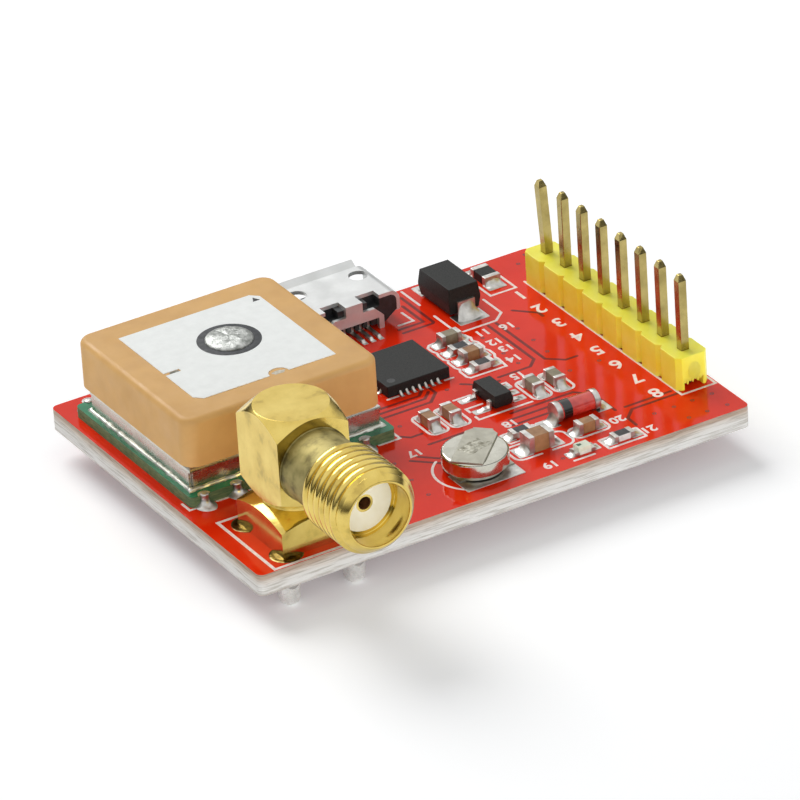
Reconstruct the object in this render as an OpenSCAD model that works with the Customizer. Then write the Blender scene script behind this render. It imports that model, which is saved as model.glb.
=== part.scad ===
// Satellite receiver module: a red board that carries a patch-antenna receiver, a right-angle
// antenna jack, a micro USB socket, a pin header and small surface-mount parts.
// Places on the board are measured from its front left corner, at the level of its top face.

/* [Board] */
// Length of the board along its front edge
board_w = 39; // [37:0.5:48]
// Depth of the board
board_d = 29; // [28:0.5:38]
// Thickness of the board
board_t = 1.6; // [0.8:0.1:2.4]
// Radius of the board's corners
board_corner_r = 0.5; // [0.2:0.1:3]

/* [Receiver] */
// Left edge of the receiver, from the board's left edge
receiver_x = 0.85; // [0.2:0.05:2]
// Front edge of the receiver, from the board's front edge
receiver_y = 10.65; // [10:0.05:12]
// Side of the receiver's square carrier board
carrier_w = 16.2; // [15.5:0.1:17]
// Thickness of the carrier board
carrier_t = 0.8; // [0.6:0.05:1.6]
// Radius of the carrier's corners
carrier_corner_r = 0.4; // [0.1:0.05:0.8]
// Castellations on the front edge, and as many on the back edge
castellation_count = 6; // [3:1:6]
// First castellation of each row, from the carrier's left edge
castellation_first = 1.05; // [0.9:0.05:2]
// Spacing of the castellations
castellation_pitch = 2.54; // [2:0.02:2.7]
// Radius of a castellation
castellation_r = 0.3; // [0.25:0.05:0.6]
// Radius of a solder joint's foot
joint_r = 0.75; // [0.5:0.05:0.9]
// Distance of that foot's middle outside the carrier's edge
joint_out = 0.3; // [0.1:0.05:0.4]
// Gap between the carrier's front edge and the shield can
can_front_gap = 0.92; // [0.4:0.02:1.2]
// Length of the shield can along the front edge
can_w = 15.1; // [13:0.1:15.3]
// Depth of the shield can
can_d = 14; // [12.5:0.1:14.2]
// Height of the shield can
can_h = 1.7; // [1.4:0.05:2.2]
// Thickness of the can's sheet
can_wall = 0.2; // [0.1:0.05:0.3]
// Outer radius of the can's bends
can_bend_r = 0.35; // [0.31:0.01:0.6]
// Width of the slits at the can's corners
can_slit = 0.22; // [0.1:0.02:0.4]
// Height of those slits
can_slit_h = 1.3; // [0.6:0.05:1.3]
// Thickness of the adhesive tape under the antenna
tape_t = 0.4; // [0.1:0.05:0.6]
// How far the tape stays back from the antenna's edge
tape_inset = 1; // [0.7:0.05:1.5]
// Side of the receiver chip under the can
receiver_chip_w = 5; // [3:0.1:6]
// Height of the receiver chip
receiver_chip_h = 0.8; // [0.4:0.05:0.85]
// Length of the crystal under the can
crystal_l = 2.5; // [1.6:0.1:3.2]
// Width of the crystal
crystal_w = 2; // [1.2:0.1:2.5]
// Height of the crystal
crystal_h = 0.7; // [0.4:0.05:0.85]
// Radius of the crystal's corners
crystal_corner_r = 0.2; // [0.1:0.05:0.4]
// Room between the can's wall and the parts under it
inner_room = 1; // [0.4:0.05:1.2]

/* [Antenna] */
// Side of the square ceramic antenna
ceramic_w = 15.4; // [14.5:0.1:16]
// Middle of the ceramic antenna, from the shield can's middle
ceramic_shift = [-0.35, -0.1]; // [-0.5:0.05:0.5]
// Height of the ceramic antenna
ceramic_h = 3.65; // [2:0.05:6]
// Radius of the ceramic's upright corners
ceramic_corner_r = 1.1; // [1:0.1:3]
// Radius of the ceramic's top edges
ceramic_edge_r = 0.45; // [0.2:0.05:0.95]
// Length of the silver electrode along the front edge
electrode_w = 10.9; // [9:0.1:12]
// Depth of the silver electrode
electrode_d = 10.9; // [9:0.1:12]
// Thickness of the silver electrode
electrode_t = 0.05; // [0.03:0.01:0.15]
// Cut at two opposite corners of the electrode
electrode_cut = 0.55; // [0.1:0.05:2]
// Width of the tuning slit at the electrode's left edge
tuning_slit_w = 0.36; // [0.1:0.02:0.6]
// Length of the tuning slit
tuning_slit_l = 1.2; // [0.4:0.1:2.5]
// Place of the tuning slit, from the antenna's middle
tuning_slit_y = -1; // [-2:0.1:0]
// Radius of the tuning notch ground into the electrode's front edge
tuning_notch_r = 0.75; // [0.3:0.05:1.2]
// Place of the tuning notch, from the antenna's middle
tuning_notch_x = 1; // [-2:0.1:2]
// Feed point, from the antenna's middle
feed_at = [0.6, 0.7]; // [-1.5:0.05:1.5]
// Diameter of the bare ring round the feed
feed_gap_d = 4.5; // [3.7:0.1:5]
// Diameter of the feed's solder dome
feed_dome_d = 3.4; // [2:0.05:3.6]
// Height of the solder dome
feed_dome_h = 0.32; // [0.1:0.02:0.6]
// Diameter of the feed pin
feed_pin_d = 0.9; // [0.5:0.05:1.2]

/* [Antenna jack] */
// Middle of the jack, from the board's left edge
jack_x = 5.5; // [4.5:0.05:7]
// Middle of the jack, from the board's front edge
jack_y = 4.05; // [3.6:0.05:4.4]
// Spacing of the four legs
leg_pitch = 5.08; // [4.8:0.02:5.3]
// Width of a leg
leg_w = 1; // [0.7:0.05:1.2]
// Length of a leg below the board
leg_below = 2.1; // [0.8:0.1:3]
// Height of the base at its corners
base_corner_h = 1.86; // [1:0.05:2]
// Slope of the base's turned top, in degrees
base_slope = 24; // [10:1:30]
// Diameter of the neck between the base and the block
neck_d = 4.9; // [4.6:0.05:5.4]
// Width of the elbow block
block_w = 5.5; // [5.3:0.05:6]
// Height of the block's underside above the board
block_bottom = 3; // [2.8:0.05:3.3]
// Height of the block's top above the board
block_top = 9.65; // [9.2:0.05:11]
// Diameter of the flat on top of the block
block_flat_d = 5.24; // [3:0.05:5.3]
// Slope of the turned chamfer on top of the block, in degrees
block_top_slope = 41; // [20:1:50]
// Slope of the turned chamfer under the block, in degrees
block_low_slope = 30; // [10:1:40]
// Height of the barrel's axis above the board
axis_h = 6.15; // [5.8:0.05:6.6]
// Reach of the barrel's mouth from the jack's middle
barrel_reach = 11.25; // [9.5:0.05:14]
// Diameter of the plain part of the barrel
barrel_d = 5.3; // [5:0.05:5.5]
// Outside diameter of the thread
thread_d = 6.35; // [6:0.05:6.6]
// Length of the threaded end of the barrel
thread_l = 5.2; // [3.6:0.1:6]
// Depth of the thread, and chamfer at both of its ends
thread_depth = 0.36; // [0.1:0.02:0.5]
// Length of the plain lead-in at the mouth
lead_in_l = 0.5; // [0.2:0.05:0.9]
// Length of the barrel's spigot in the block
spigot_l = 0.6; // [0.3:0.05:0.65]
// Diameter of the recess in the barrel's mouth, and of the spigot
recess_d = 4.6; // [4.3:0.05:4.8]
// Depth of the recess
recess_depth = 2; // [1:0.05:3]
// Diameter of the two insulators
insulator_d = 4.1; // [3.6:0.05:4.25]
// Diameter of the centre contact and of the tail pin
contact_d = 1.27; // [1.1:0.01:1.5]
// Diameter of the contact's socket
socket_d = 0.94; // [0.6:0.01:1]
// Depth of the contact's socket
socket_depth = 2.6; // [1:0.1:4]
// Diameter of the contact's tang in the tail pin
tang_d = 0.6; // [0.4:0.02:0.8]

/* [USB socket] */
// Middle of the socket, from the board's left edge
usb_x = 22.27; // [21.5:0.05:24]
// Reach of the socket's mouth past the board's back edge
usb_overhang = 1.4; // [1:0.05:2]
// Width of the shell
usb_w = 7.7; // [7.5:0.05:8]
// Height of the shell
usb_h = 2.5; // [2.45:0.05:2.9]
// Length of the shell from its rear to its mouth
usb_l = 5.2; // [5:0.05:6]
// Thickness of the shell's sheet
usb_wall = 0.28; // [0.2:0.02:0.32]
// Slope of the shell's lower corners, measured across and upwards
usb_bevel = 1; // [0.6:0.05:1.2]
// Radius of the shell's upper corners
usb_corner_r = 0.8; // [0.4:0.05:0.9]
// Rise of the flared lips
lip_rise = 0.35; // [0.1:0.05:0.5]
// Length of the flared lips
lip_l = 0.55; // [0.3:0.05:0.9]
// Width of the upper lip
lip_w = 6.1; // [4:0.1:6.2]
// Spacing of the two latch holes
latch_pitch = 5; // [4:0.05:5.2]
// Diameter of a latch hole
latch_d = 1.4; // [0.6:0.05:1.5]
// Middle of the latch holes, from the mouth
latch_from_mouth = 1.8; // [1.5:0.05:2.2]
// Width of the strip that is bent down at the shell's rear
strip_w = 1.36; // [0.8:0.02:1.6]
// Width of the notches beside that strip
rear_notch_w = 1.5; // [0.8:0.05:1.6]
// Length of those notches
rear_notch_l = 0.8; // [0.4:0.05:1]
// Width of the brace across the rear
brace_w = 4.7; // [4.3:0.05:5]
// Height of the brace's lower edge
brace_low = 0.9; // [0.5:0.05:1]
// Height of the brace's upper edge
brace_high = 1.7; // [1.4:0.05:1.9]
// Slant cut off each shoulder of the brace
brace_slant = 0.7; // [0.2:0.05:0.8]
// Width of the brace's two legs
brace_leg_w = 0.4; // [0.25:0.05:0.5]
// Length of the cut under the shell's rear
rear_cut_l = 0.9; // [0.5:0.05:1]
// Length of the insulator's block in the shell
insulator_l = 1.2; // [1:0.05:1.6]
// Width of the insulator's lugs beside the strip
lug_w = 0.5; // [0.3:0.05:0.8]
// Depth of the hollows beside those lugs
lug_drop = 0.6; // [0.3:0.05:0.8]
// Width of the insulator's tongue
tongue_w = 3.5; // [3.2:0.05:3.8]
// Height of the tongue's lower face
tongue_low = 1.05; // [0.95:0.01:1.1]
// Thickness of the tongue
tongue_t = 0.57; // [0.4:0.01:0.6]
// How far the tongue stays back from the mouth
tongue_back = 0.9; // [0.5:0.05:1]
// Width of a tab that goes through the board
tab_w = 1.2; // [0.6:0.05:1.6]
// Middle of those tabs, from the mouth
tab_from_mouth = 2.6; // [2.5:0.05:3]
// Number of contacts
usb_contact_count = 5; // [4:1:5]
// Spacing of the contacts
usb_contact_pitch = 0.65; // [0.6:0.01:0.7]
// Width of a contact
usb_contact_w = 0.32; // [0.2:0.01:0.4]
// Thickness of a contact
usb_contact_t = 0.12; // [0.08:0.01:0.2]
// Reach of the contacts' feet behind the shell
usb_foot_l = 1.25; // [0.6:0.05:1.5]
// Distance from the shell's rear to the contacts' bend
usb_contact_bend = 0.3; // [0.1:0.05:0.6]
// How far the contacts stay back from the tongue's end
usb_contact_back = 0.2; // [0.1:0.05:0.5]

/* [Interface chip] */
// Middle of the chip
chip_at = [22, 18.4]; // [0:0.05:39]
// Side of the chip
chip_w = 5; // [4:0.1:5.4]
// Height of the chip
chip_h = 0.85; // [0.5:0.05:1.2]
// Terminals on each side
chip_terminal_count = 7; // [4:1:7]
// Spacing of the terminals
chip_terminal_pitch = 0.5; // [0.4:0.05:0.55]
// Width of a terminal
chip_terminal_w = 0.24; // [0.15:0.01:0.3]
// Length of a terminal
chip_terminal_l = 0.45; // [0.3:0.05:0.6]
// Thickness of a terminal
chip_terminal_t = 0.2; // [0.1:0.02:0.3]
// Reach of a terminal past the chip's side
chip_terminal_reach = 0.04; // [0.02:0.01:0.1]

/* [Header] */
// Number of pins
pin_count = 8; // [4:1:8]
// Spacing of the pins, and side of a housing segment
pin_pitch = 2.54; // [2.3:0.01:2.54]
// Row of pins, from the board's right edge
header_edge = 1.68; // [1.5:0.02:2.5]
// First pin at the front, from the board's front edge
header_y = 5.75; // [5:0.05:7]
// Height of the housing
housing_h = 2.54; // [1.5:0.02:3]
// Cut at the corners of each segment of the housing
housing_cut = 0.34; // [0.1:0.02:0.8]
// Width of the groove under the housing
groove_w = 1.5; // [0.8:0.05:1.7]
// Height of the groove under the housing
groove_h = 0.7; // [0.2:0.05:0.9]
// Width of a square pin
pin_w = 0.64; // [0.4:0.02:0.7]
// Length of a pin above the housing
pin_above = 5.76; // [3:0.02:9]
// Length of a pin below the board
pin_below = 1.5; // [0.8:0.05:3]
// Length of a pin's tapered tip
pin_tip = 0.45; // [0.2:0.05:0.8]
// Lean of the bent pin at the back of the row, in degrees
bent_pin_lean = 3; // [0:0.5:8]

/* [Backup cell] */
// Middle of the cell
cell_at = [19.25, 3.85]; // [0:0.05:39]
// Diameter of the cell
cell_d = 4.7; // [4:0.1:5]
// Height of the cell's can
cell_can_h = 1.05; // [0.8:0.05:2]
// Radius of the can's upper edge
cell_edge_r = 0.22; // [0.1:0.02:0.4]
// Diameter of the cell's cap
cell_cap_d = 3.9; // [3:0.1:3.95]
// Height of the cell's cap
cell_cap_h = 0.4; // [0.2:0.05:0.6]
// Width of the cell's tabs
cell_tab_w = 2.3; // [1.6:0.05:2.6]
// Thickness of the cell's tabs
cell_tab_t = 0.14; // [0.08:0.01:0.25]
// Turn of the upper tab, in degrees
cell_tab_turn = 45; // [30:1:60]
// Reach of the upper tab's free end from the cell's middle
cell_tab_back = 2.25; // [1:0.05:2.3]
// Width of the upper tab's leg
cell_leg_w = 1.4; // [1:0.05:1.5]
// Gap between the cell's side and that leg
cell_leg_gap = 0.1; // [0.05:0.01:0.3]
// Length of the upper tab's foot
cell_foot_l = 0.7; // [0.4:0.05:0.8]
// Reach of the lower tab past the cell's middle
cell_lower_reach = 2.4; // [2:0.05:2.7]

/* [Power diode] */
// Middle of the diode
diode_at = [30.2, 25.3]; // [0:0.05:39]
// Width of the moulded body
diode_w = 2.6; // [2:0.05:3]
// Length of the moulded body
diode_l = 4.3; // [3.6:0.05:4.6]
// Height of the diode
diode_h = 2.2; // [1.6:0.05:2.6]
// Draft of the body from its lead plane to its top and bottom
diode_draft = 0.12; // [0.05:0.01:0.3]
// Height of the body's underside above the board
diode_standoff = 0.2; // [0.15:0.01:0.3]
// Width of the leads
diode_lead_w = 1.4; // [1:0.05:1.8]
// Thickness of the leads
diode_lead_t = 0.2; // [0.1:0.01:0.25]
// Length of the leads' feet under the body
diode_foot_l = 1; // [0.6:0.05:1.2]

/* [Regulator] */
// Middle of the regulator
regulator_at = [25.25, 11.4]; // [0:0.05:39]
// Width of the moulded body
regulator_w = 1.5; // [1.2:0.05:1.7]
// Length of the moulded body
regulator_l = 3; // [2.6:0.05:3.2]
// Height of the regulator
regulator_h = 1.05; // [0.8:0.05:1.4]
// Draft of the body from its lead plane to its top and bottom
regulator_draft = 0.09; // [0.04:0.01:0.2]
// Height of the body's underside above the board
regulator_standoff = 0.1; // [0.05:0.01:0.2]
// Spacing of the outer leads on one side
regulator_pitch = 1.9; // [1.6:0.05:2.1]
// Width of a lead
regulator_lead_w = 0.42; // [0.3:0.02:0.5]
// Thickness of a lead
regulator_lead_t = 0.15; // [0.1:0.01:0.2]
// Reach of a lead past the body
regulator_lead_reach = 0.6; // [0.5:0.02:0.7]
// Distance from the body to a lead's bend
regulator_lead_bend = 0.21; // [0.2:0.01:0.3]

/* [Signal diode] */
// Middle of the glass diode
melf_at = [28.6, 6.1]; // [0:0.05:39]
// Length of the diode
melf_l = 3.45; // [3:0.05:3.7]
// Diameter of the glass
melf_glass_d = 1.36; // [1:0.02:1.48]
// Diameter of the end caps
melf_cap_d = 1.5; // [1.5:0.02:1.8]
// Length of an end cap
melf_cap_l = 0.42; // [0.3:0.02:0.7]

/* [Indicator lamp] */
// Middle of the lamp
led_at = [26.35, 1.5]; // [0:0.05:39]
// Thickness of the lamp's base
led_base_t = 0.25; // [0.15:0.01:0.4]
// Height of the lamp
led_h = 0.6; // [0.45:0.05:0.9]
// Length of the lens
led_lens_l = 1.05; // [0.7:0.05:1.2]

/* [Chip parts] */
// Length of a small chip part
small_l = 1.6; // [1.2:0.05:1.7]
// Width of a small chip part
small_w = 0.8; // [0.6:0.05:0.9]
// Height of a small capacitor
capacitor_h = 0.8; // [0.5:0.05:1]
// Height of a resistor
resistor_h = 0.45; // [0.3:0.05:0.6]
// Length of a small part's end terminals
small_end_l = 0.32; // [0.15:0.01:0.4]
// Length of the large capacitor and of the fuse
large_l = 2; // [1.6:0.05:2.1]
// Width of the large capacitor and of the fuse
large_w = 1.25; // [0.9:0.05:1.3]
// Height of the large capacitor
large_capacitor_h = 1.25; // [0.8:0.05:1.4]
// Height of the fuse
fuse_h = 0.65; // [0.4:0.05:0.9]
// Length of a large part's end terminals
large_end_l = 0.42; // [0.2:0.01:0.6]
// Height that the end terminals stand proud of the body
end_proud = 0.025; // [0.01:0.005:0.05]
// Front part of the row of four beside the interface chip
row_at = [27.1, 15.85]; // [0:0.05:39]
// Spacing of that row
row_pitch = 1.47; // [1.3:0.01:1.6]
// Left capacitor of the left pair
left_pair_at = [19.87, 10.97]; // [0:0.05:39]
// Left capacitor of the right pair
right_pair_at = [28.25, 10.9]; // [0:0.05:39]
// Spacing of the capacitors in a pair
pair_pitch = 1.72; // [1.3:0.02:1.8]
// Capacitor beside the signal diode
signal_capacitor_at = [28.15, 3.85]; // [0:0.05:39]
// Large capacitor beside the cell
large_capacitor_at = [24.2, 3.85]; // [0:0.05:39]
// Resistor behind the large capacitor
cell_resistor_at = [24.2, 6.05]; // [0:0.05:39]
// Resistor beside the indicator lamp
lamp_resistor_at = [29.5, 1.45]; // [0:0.05:39]
// Resettable fuse
fuse_at = [34.05, 26.75]; // [0:0.05:39]

/* [Fits] */
// Room round a pin, leg or tab in its hole
hole_room = 0.09; // [0.05:0.01:0.15]
// Room round a piece that slips into another
slip_room = 0.02; // [0.01:0.005:0.05]
// Height of the solder under the board
solder_h = 0.8; // [0.4:0.05:0.8]
// Reach of that solder round a pin or leg
solder_reach = 0.3; // [0.15:0.05:0.4]

/* [Hidden] */
$fn = 48;
capacitor_count = 8;
resistor_count = 4;

red_mask = "#d6301c";
carrier_green = "#2f7a52";
sheet_silver = "#c9cbc8";
ceramic_tan = "#c99a66";
electrode_white = "#e6e8e6";
plated_gold = "#d9b64a";
insulator_white = "#f2efe4";
moulded_black = "#2b2d2e";
tin_silver = "#c4c6c4";
housing_yellow = "#f0d83a";
capacitor_tan = "#b08a5a";
resistor_white = "#dcdcd6";
tape_brown = "#4a443c";
glass_red = "#b5523a";
lamp_white = "#e4e6da";
lens_green = "#dfe8c8";

// Levels and middles that several pieces share, in board places
stand_h = max(leg_below, pin_below);
mouth_y = jack_y - barrel_reach;
usb_mouth_y = board_d + usb_overhang;
usb_rear_y = usb_mouth_y - usb_l;
origin_y = (mouth_y + usb_mouth_y) / 2;
receiver_at = [receiver_x + carrier_w / 2, receiver_y + carrier_w / 2];
can_at = [receiver_at[0], receiver_y + can_front_gap + can_d / 2];
ceramic_at = can_at + ceramic_shift;
feed_place = ceramic_at + feed_at;
can_top = carrier_t + can_h;
ceramic_bottom = can_top + tape_t;
ceramic_top = ceramic_bottom + ceramic_h;
base_w = leg_pitch + leg_w;
barrel_l = barrel_reach - block_w / 2;
header_x = board_w - header_edge;
cell_can_bottom = cell_tab_t + cell_cap_h;
cell_top = cell_can_bottom + cell_can_h;
leg_hole_d = sqrt(2) * leg_w + 2 * hole_room;
pin_hole_d = sqrt(2) * pin_w + 2 * hole_room;
tail_hole_d = contact_d + 2 * hole_room;
diode_lead_low = (diode_h - diode_lead_t) / 2;
diode_lead_high = (diode_h + diode_lead_t) / 2;
regulator_lead_low = (regulator_h - regulator_lead_t) / 2;
regulator_lead_high = (regulator_h + regulator_lead_t) / 2;
tongue_l = usb_l - tongue_back;
usb_side_h = usb_h - usb_corner_r - usb_bevel;

// How far a cutting form runs past the form that it cuts
past = 0.5;

// Places of the chip parts: the row, the two pairs, then the single parts
capacitor_at = [
    row_at + [0, row_pitch],
    row_at + [0, 3 * row_pitch],
    left_pair_at,
    left_pair_at + [pair_pitch, 0],
    right_pair_at,
    right_pair_at + [pair_pitch, 0],
    signal_capacitor_at,
    large_capacitor_at
];
capacitor_turn = [0, 0, 90, 90, 90, 90, 0, 0];
resistor_at = [row_at, row_at + [0, 2 * row_pitch], cell_resistor_at, lamp_resistor_at];
small_size = [small_l, small_w, capacitor_h];
large_size = [large_l, large_w, large_capacitor_h];
resistor_size = [small_l, small_w, resistor_h];
fuse_size = [large_l, large_w, fuse_h];
lamp_size = [small_l, small_w, led_base_t];

// Frames
module on_board() {
    translate([-board_w / 2, -origin_y, stand_h + board_t]) children();
}

module at(place, z = 0) {
    on_board() translate([place[0], place[1], z]) children();
}

module along_x(length) {
    rotate([90, 0, 90]) linear_extrude(length, center = true) children();
}

module along_y(length) {
    rotate([90, 0, 0]) linear_extrude(length, center = true) children();
}

// Outlines
module rounded_rect(w, d, r) {
    square([w, d - 2 * r], center = true);
    square([w - 2 * r, d], center = true);
    for (x = [-1, 1], y = [-1, 1])
        translate([x * (w / 2 - r), y * (d / 2 - r)]) circle(r);
}

module half_shoulder(w, h, r) {
    square([w, h - r]);
    square([w - r, h]);
    translate([w - r, h - r]) intersection() {
        circle(r);
        square(r);
    }
}

module shoulder(w, h, r) {
    half_shoulder(w / 2, h, r);
    mirror([1, 0]) half_shoulder(w / 2, h, r);
}

// A pressed can: its top edges are bent along straight lines
module pressed(w, d, h, r) {
    intersection() {
        along_x(w) shoulder(d, h, r);
        along_y(d) shoulder(w, h, r);
    }
}

// A fired block: upright corners and top edges are both round
module fired(w, d, h, corner_r, edge_r) {
    along_x(w - 2 * corner_r) shoulder(d, h, edge_r);
    along_y(d - 2 * corner_r) shoulder(w, h, edge_r);
    for (x = [-1, 1], y = [-1, 1])
        translate([x * (w / 2 - corner_r), y * (d / 2 - corner_r)])
            rotate_extrude() half_shoulder(corner_r, h, edge_r);
}

// A square pin with tapered ends
module square_pin(w, low, high, tip) {
    half = w / 2;
    end = w / 4;
    outline = [
        [-end, low], [end, low], [half, low + tip], [half, high - tip],
        [end, high], [-end, high], [-half, high - tip], [-half, low + tip]
    ];
    intersection() {
        along_x(w) polygon(outline);
        along_y(w) polygon(outline);
    }
}

// A moulded body that is widest at its lead plane, with a flat there for the leads
module moulded(w, l, low, high, lead_low, lead_high, draft) {
    intersection() {
        along_y(2 * l) draft_outline(w / 2, low, high, lead_low, lead_high, draft);
        along_x(2 * w) draft_outline(l / 2, low, high, lead_low, lead_high, draft);
    }
}

module draft_outline(half, low, high, lead_low, lead_high, draft) {
    polygon([
        [-half + draft, low], [half - draft, low], [half, lead_low], [half, lead_high],
        [half - draft, high], [-half + draft, high], [-half, lead_high], [-half, lead_low]
    ]);
}

// Solder that climbs a pin under the board
module solder_cone(core_r, hole_w) {
    translate([0, 0, -board_t - solder_h]) difference() {
        cylinder(r1 = core_r + slip_room, r2 = core_r + solder_reach, h = solder_h);
        cube([hole_w, hole_w, 3 * solder_h], center = true);
    }
}

// Main board
module main_board() {
    color(red_mask) on_board() difference() {
        translate([board_w / 2, board_d / 2, -board_t])
            linear_extrude(board_t) rounded_rect(board_w, board_d, board_corner_r);
        header_places() through(pin_hole_d);
        leg_places() through(leg_hole_d);
        translate([jack_x, jack_y]) through(tail_hole_d);
        usb_tab_places() through_slot(usb_wall + 2 * hole_room, tab_w + 2 * hole_room);
    }
}

module through(d) {
    translate([0, 0, -2 * board_t]) cylinder(d = d, h = 3 * board_t);
}

module through_slot(w, l) {
    cube([w, l, 3 * board_t], center = true);
}

module header_places() {
    for (i = [0:pin_count - 1]) translate([header_x, header_y + i * pin_pitch]) children();
}

module leg_places() {
    for (x = [-1, 1], y = [-1, 1])
        translate([jack_x + x * leg_pitch / 2, jack_y + y * leg_pitch / 2]) children();
}

module usb_tab_places() {
    for (side = [-1, 1])
        translate([usb_x + side * (usb_w - usb_wall) / 2, usb_mouth_y - tab_from_mouth]) children();
}

// Receiver
module castellation_places() {
    first = castellation_first - carrier_w / 2;
    for (side = [-1, 1], i = [0:castellation_count - 1])
        translate([first + i * castellation_pitch, side * carrier_w / 2]) rotate(90 + 90 * side) children();
}

module receiver_carrier() {
    color(carrier_green) difference() {
        at(receiver_at) linear_extrude(carrier_t) difference() {
            rounded_rect(carrier_w, carrier_w, carrier_corner_r);
            castellation_places() circle(castellation_r);
        }
        at(feed_place, -carrier_t) cylinder(d = feed_pin_d + 2 * slip_room, h = 3 * carrier_t);
    }
}

module receiver_solder() {
    color(tin_silver) at(receiver_at) castellation_places() {
        cylinder(r = castellation_r, h = carrier_t);
        difference() {
            translate([0, -joint_out, 0]) cylinder(r1 = joint_r, r2 = castellation_r / 2, h = carrier_t);
            translate([-carrier_w, 0, -carrier_t]) cube([2 * carrier_w, carrier_w, 3 * carrier_t]);
        }
    }
}

module receiver_chip() {
    inset = can_wall + inner_room + receiver_chip_w / 2;
    color(moulded_black) at(can_at + [can_w / 2 - inset, can_d / 2 - inset], carrier_t)
        linear_extrude(receiver_chip_h) square(receiver_chip_w, center = true);
}

module receiver_crystal() {
    inset = can_wall + inner_room + crystal_l / 2;
    color(sheet_silver) at(can_at - [can_w / 2 - inset, can_d / 2 - inset], carrier_t)
        linear_extrude(crystal_h) rounded_rect(crystal_l, crystal_w, crystal_corner_r);
}

module shield_can() {
    color(sheet_silver) difference() {
        at(can_at, carrier_t) difference() {
            pressed(can_w, can_d, can_h, can_bend_r);
            translate([0, 0, -can_wall])
                pressed(can_w - 2 * can_wall, can_d - 2 * can_wall, can_h, can_bend_r - can_wall);
            for (x = [-1, 1], y = [-1, 1])
                translate([x * can_w / 2, y * can_d / 2, 0])
                    cube([2 * can_slit, 2 * can_slit, 2 * can_slit_h], center = true);
        }
        at(feed_place, carrier_t) cylinder(d = feed_pin_d + 2 * hole_room, h = 2 * can_h);
    }
}

module antenna_tape() {
    tape_w = ceramic_w - 2 * tape_inset;
    color(tape_brown) difference() {
        at(ceramic_at, can_top) linear_extrude(tape_t) rounded_rect(tape_w, tape_w, ceramic_corner_r);
        at(feed_place, carrier_t) cylinder(d = feed_pin_d + 2 * hole_room, h = 2 * ceramic_bottom);
    }
}

module antenna_ceramic() {
    color(ceramic_tan) difference() {
        at(ceramic_at, ceramic_bottom)
            fired(ceramic_w, ceramic_w, ceramic_h, ceramic_corner_r, ceramic_edge_r);
        at(feed_place, 0) cylinder(d = feed_pin_d + 2 * slip_room, h = 2 * ceramic_top);
    }
}

module antenna_electrode() {
    half_w = electrode_w / 2;
    half_d = electrode_d / 2;
    cut = electrode_cut;
    color(electrode_white) at(ceramic_at, ceramic_top) linear_extrude(electrode_t) difference() {
        polygon([
            [-half_w + cut, -half_d], [half_w, -half_d], [half_w, half_d - cut],
            [half_w - cut, half_d], [-half_w, half_d], [-half_w, -half_d + cut]
        ]);
        translate(feed_at) circle(d = feed_gap_d);
        translate([-half_w - tuning_slit_l, tuning_slit_y - tuning_slit_w / 2])
            square([2 * tuning_slit_l, tuning_slit_w]);
        translate([tuning_notch_x, -half_d]) circle(tuning_notch_r);
    }
}

module antenna_feed_pin() {
    dome_r = feed_dome_d / 2;
    ball_r = (dome_r * dome_r + feed_dome_h * feed_dome_h) / (2 * feed_dome_h);
    color(tin_silver) at(feed_place) {
        cylinder(d = feed_pin_d, h = ceramic_top);
        translate([0, 0, ceramic_top]) rotate_extrude() intersection() {
            translate([0, feed_dome_h - ball_r]) circle(ball_r);
            square([dome_r, feed_dome_h]);
        }
    }
}

// Antenna jack, with its frame at the board's top face below the elbow
module at_jack() {
    at([jack_x, jack_y]) children();
}

// The barrel's frame: its axis points out of the mouth, from the block's front face
module at_barrel() {
    at_jack() translate([0, -block_w / 2, axis_h]) rotate([90, 0, 0]) children();
}

module jack_base() {
    corner_r = base_w / sqrt(2);
    neck_r = neck_d / 2;
    rise = tan(base_slope);
    cone_top = base_corner_h + (corner_r - neck_r) * rise;
    intersection() {
        linear_extrude(cone_top) square(base_w, center = true);
        rotate_extrude() polygon([
            [0, 0], [corner_r + past, 0], [corner_r + past, base_corner_h - past * rise],
            [neck_r, cone_top], [0, cone_top]
        ]);
    }
}

module jack_block() {
    far_r = block_w / sqrt(2) + past;
    low_rise = (far_r - neck_d / 2) * tan(block_low_slope);
    top_drop = (far_r - block_flat_d / 2) * tan(block_top_slope);
    intersection() {
        translate([0, 0, block_bottom])
            linear_extrude(block_top - block_bottom) square(block_w, center = true);
        rotate_extrude() polygon([
            [0, block_bottom], [neck_d / 2, block_bottom], [far_r, block_bottom + low_rise],
            [far_r, block_top - top_drop], [block_flat_d / 2, block_top], [0, block_top]
        ]);
    }
}

module jack_body() {
    bore_top = axis_h + insulator_d / 2;
    color(plated_gold) difference() {
        union() {
            at_jack() {
                jack_base();
                jack_block();
                cylinder(d = neck_d, h = axis_h);
            }
            on_board() leg_places() square_pin(leg_w, -board_t - leg_below, base_corner_h / 2, leg_w / 4);
        }
        at_jack() translate([0, 0, -board_t]) cylinder(d = insulator_d, h = board_t + bore_top);
        at_barrel() translate([0, 0, -block_w / 2]) cylinder(d = insulator_d, h = block_w);
        at_barrel() translate([0, 0, -spigot_l]) cylinder(d = recess_d, h = block_w);
    }
}

module jack_barrel() {
    outer = thread_d / 2;
    plain = barrel_d / 2;
    bore = insulator_d / 2;
    recess = recess_d / 2;
    root = outer - thread_depth;
    start = barrel_l - thread_l;
    end = barrel_l - lead_in_l;
    color(plated_gold) at_barrel() rotate_extrude() polygon([
        [bore, -spigot_l], [recess, -spigot_l], [recess, 0], [plain, 0], [plain, start],
        [root, start], [outer, start + thread_depth], [outer, end - thread_depth], [root, end],
        [root, barrel_l], [recess, barrel_l], [recess, barrel_l - recess_depth],
        [bore, barrel_l - recess_depth]
    ]);
}

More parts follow.
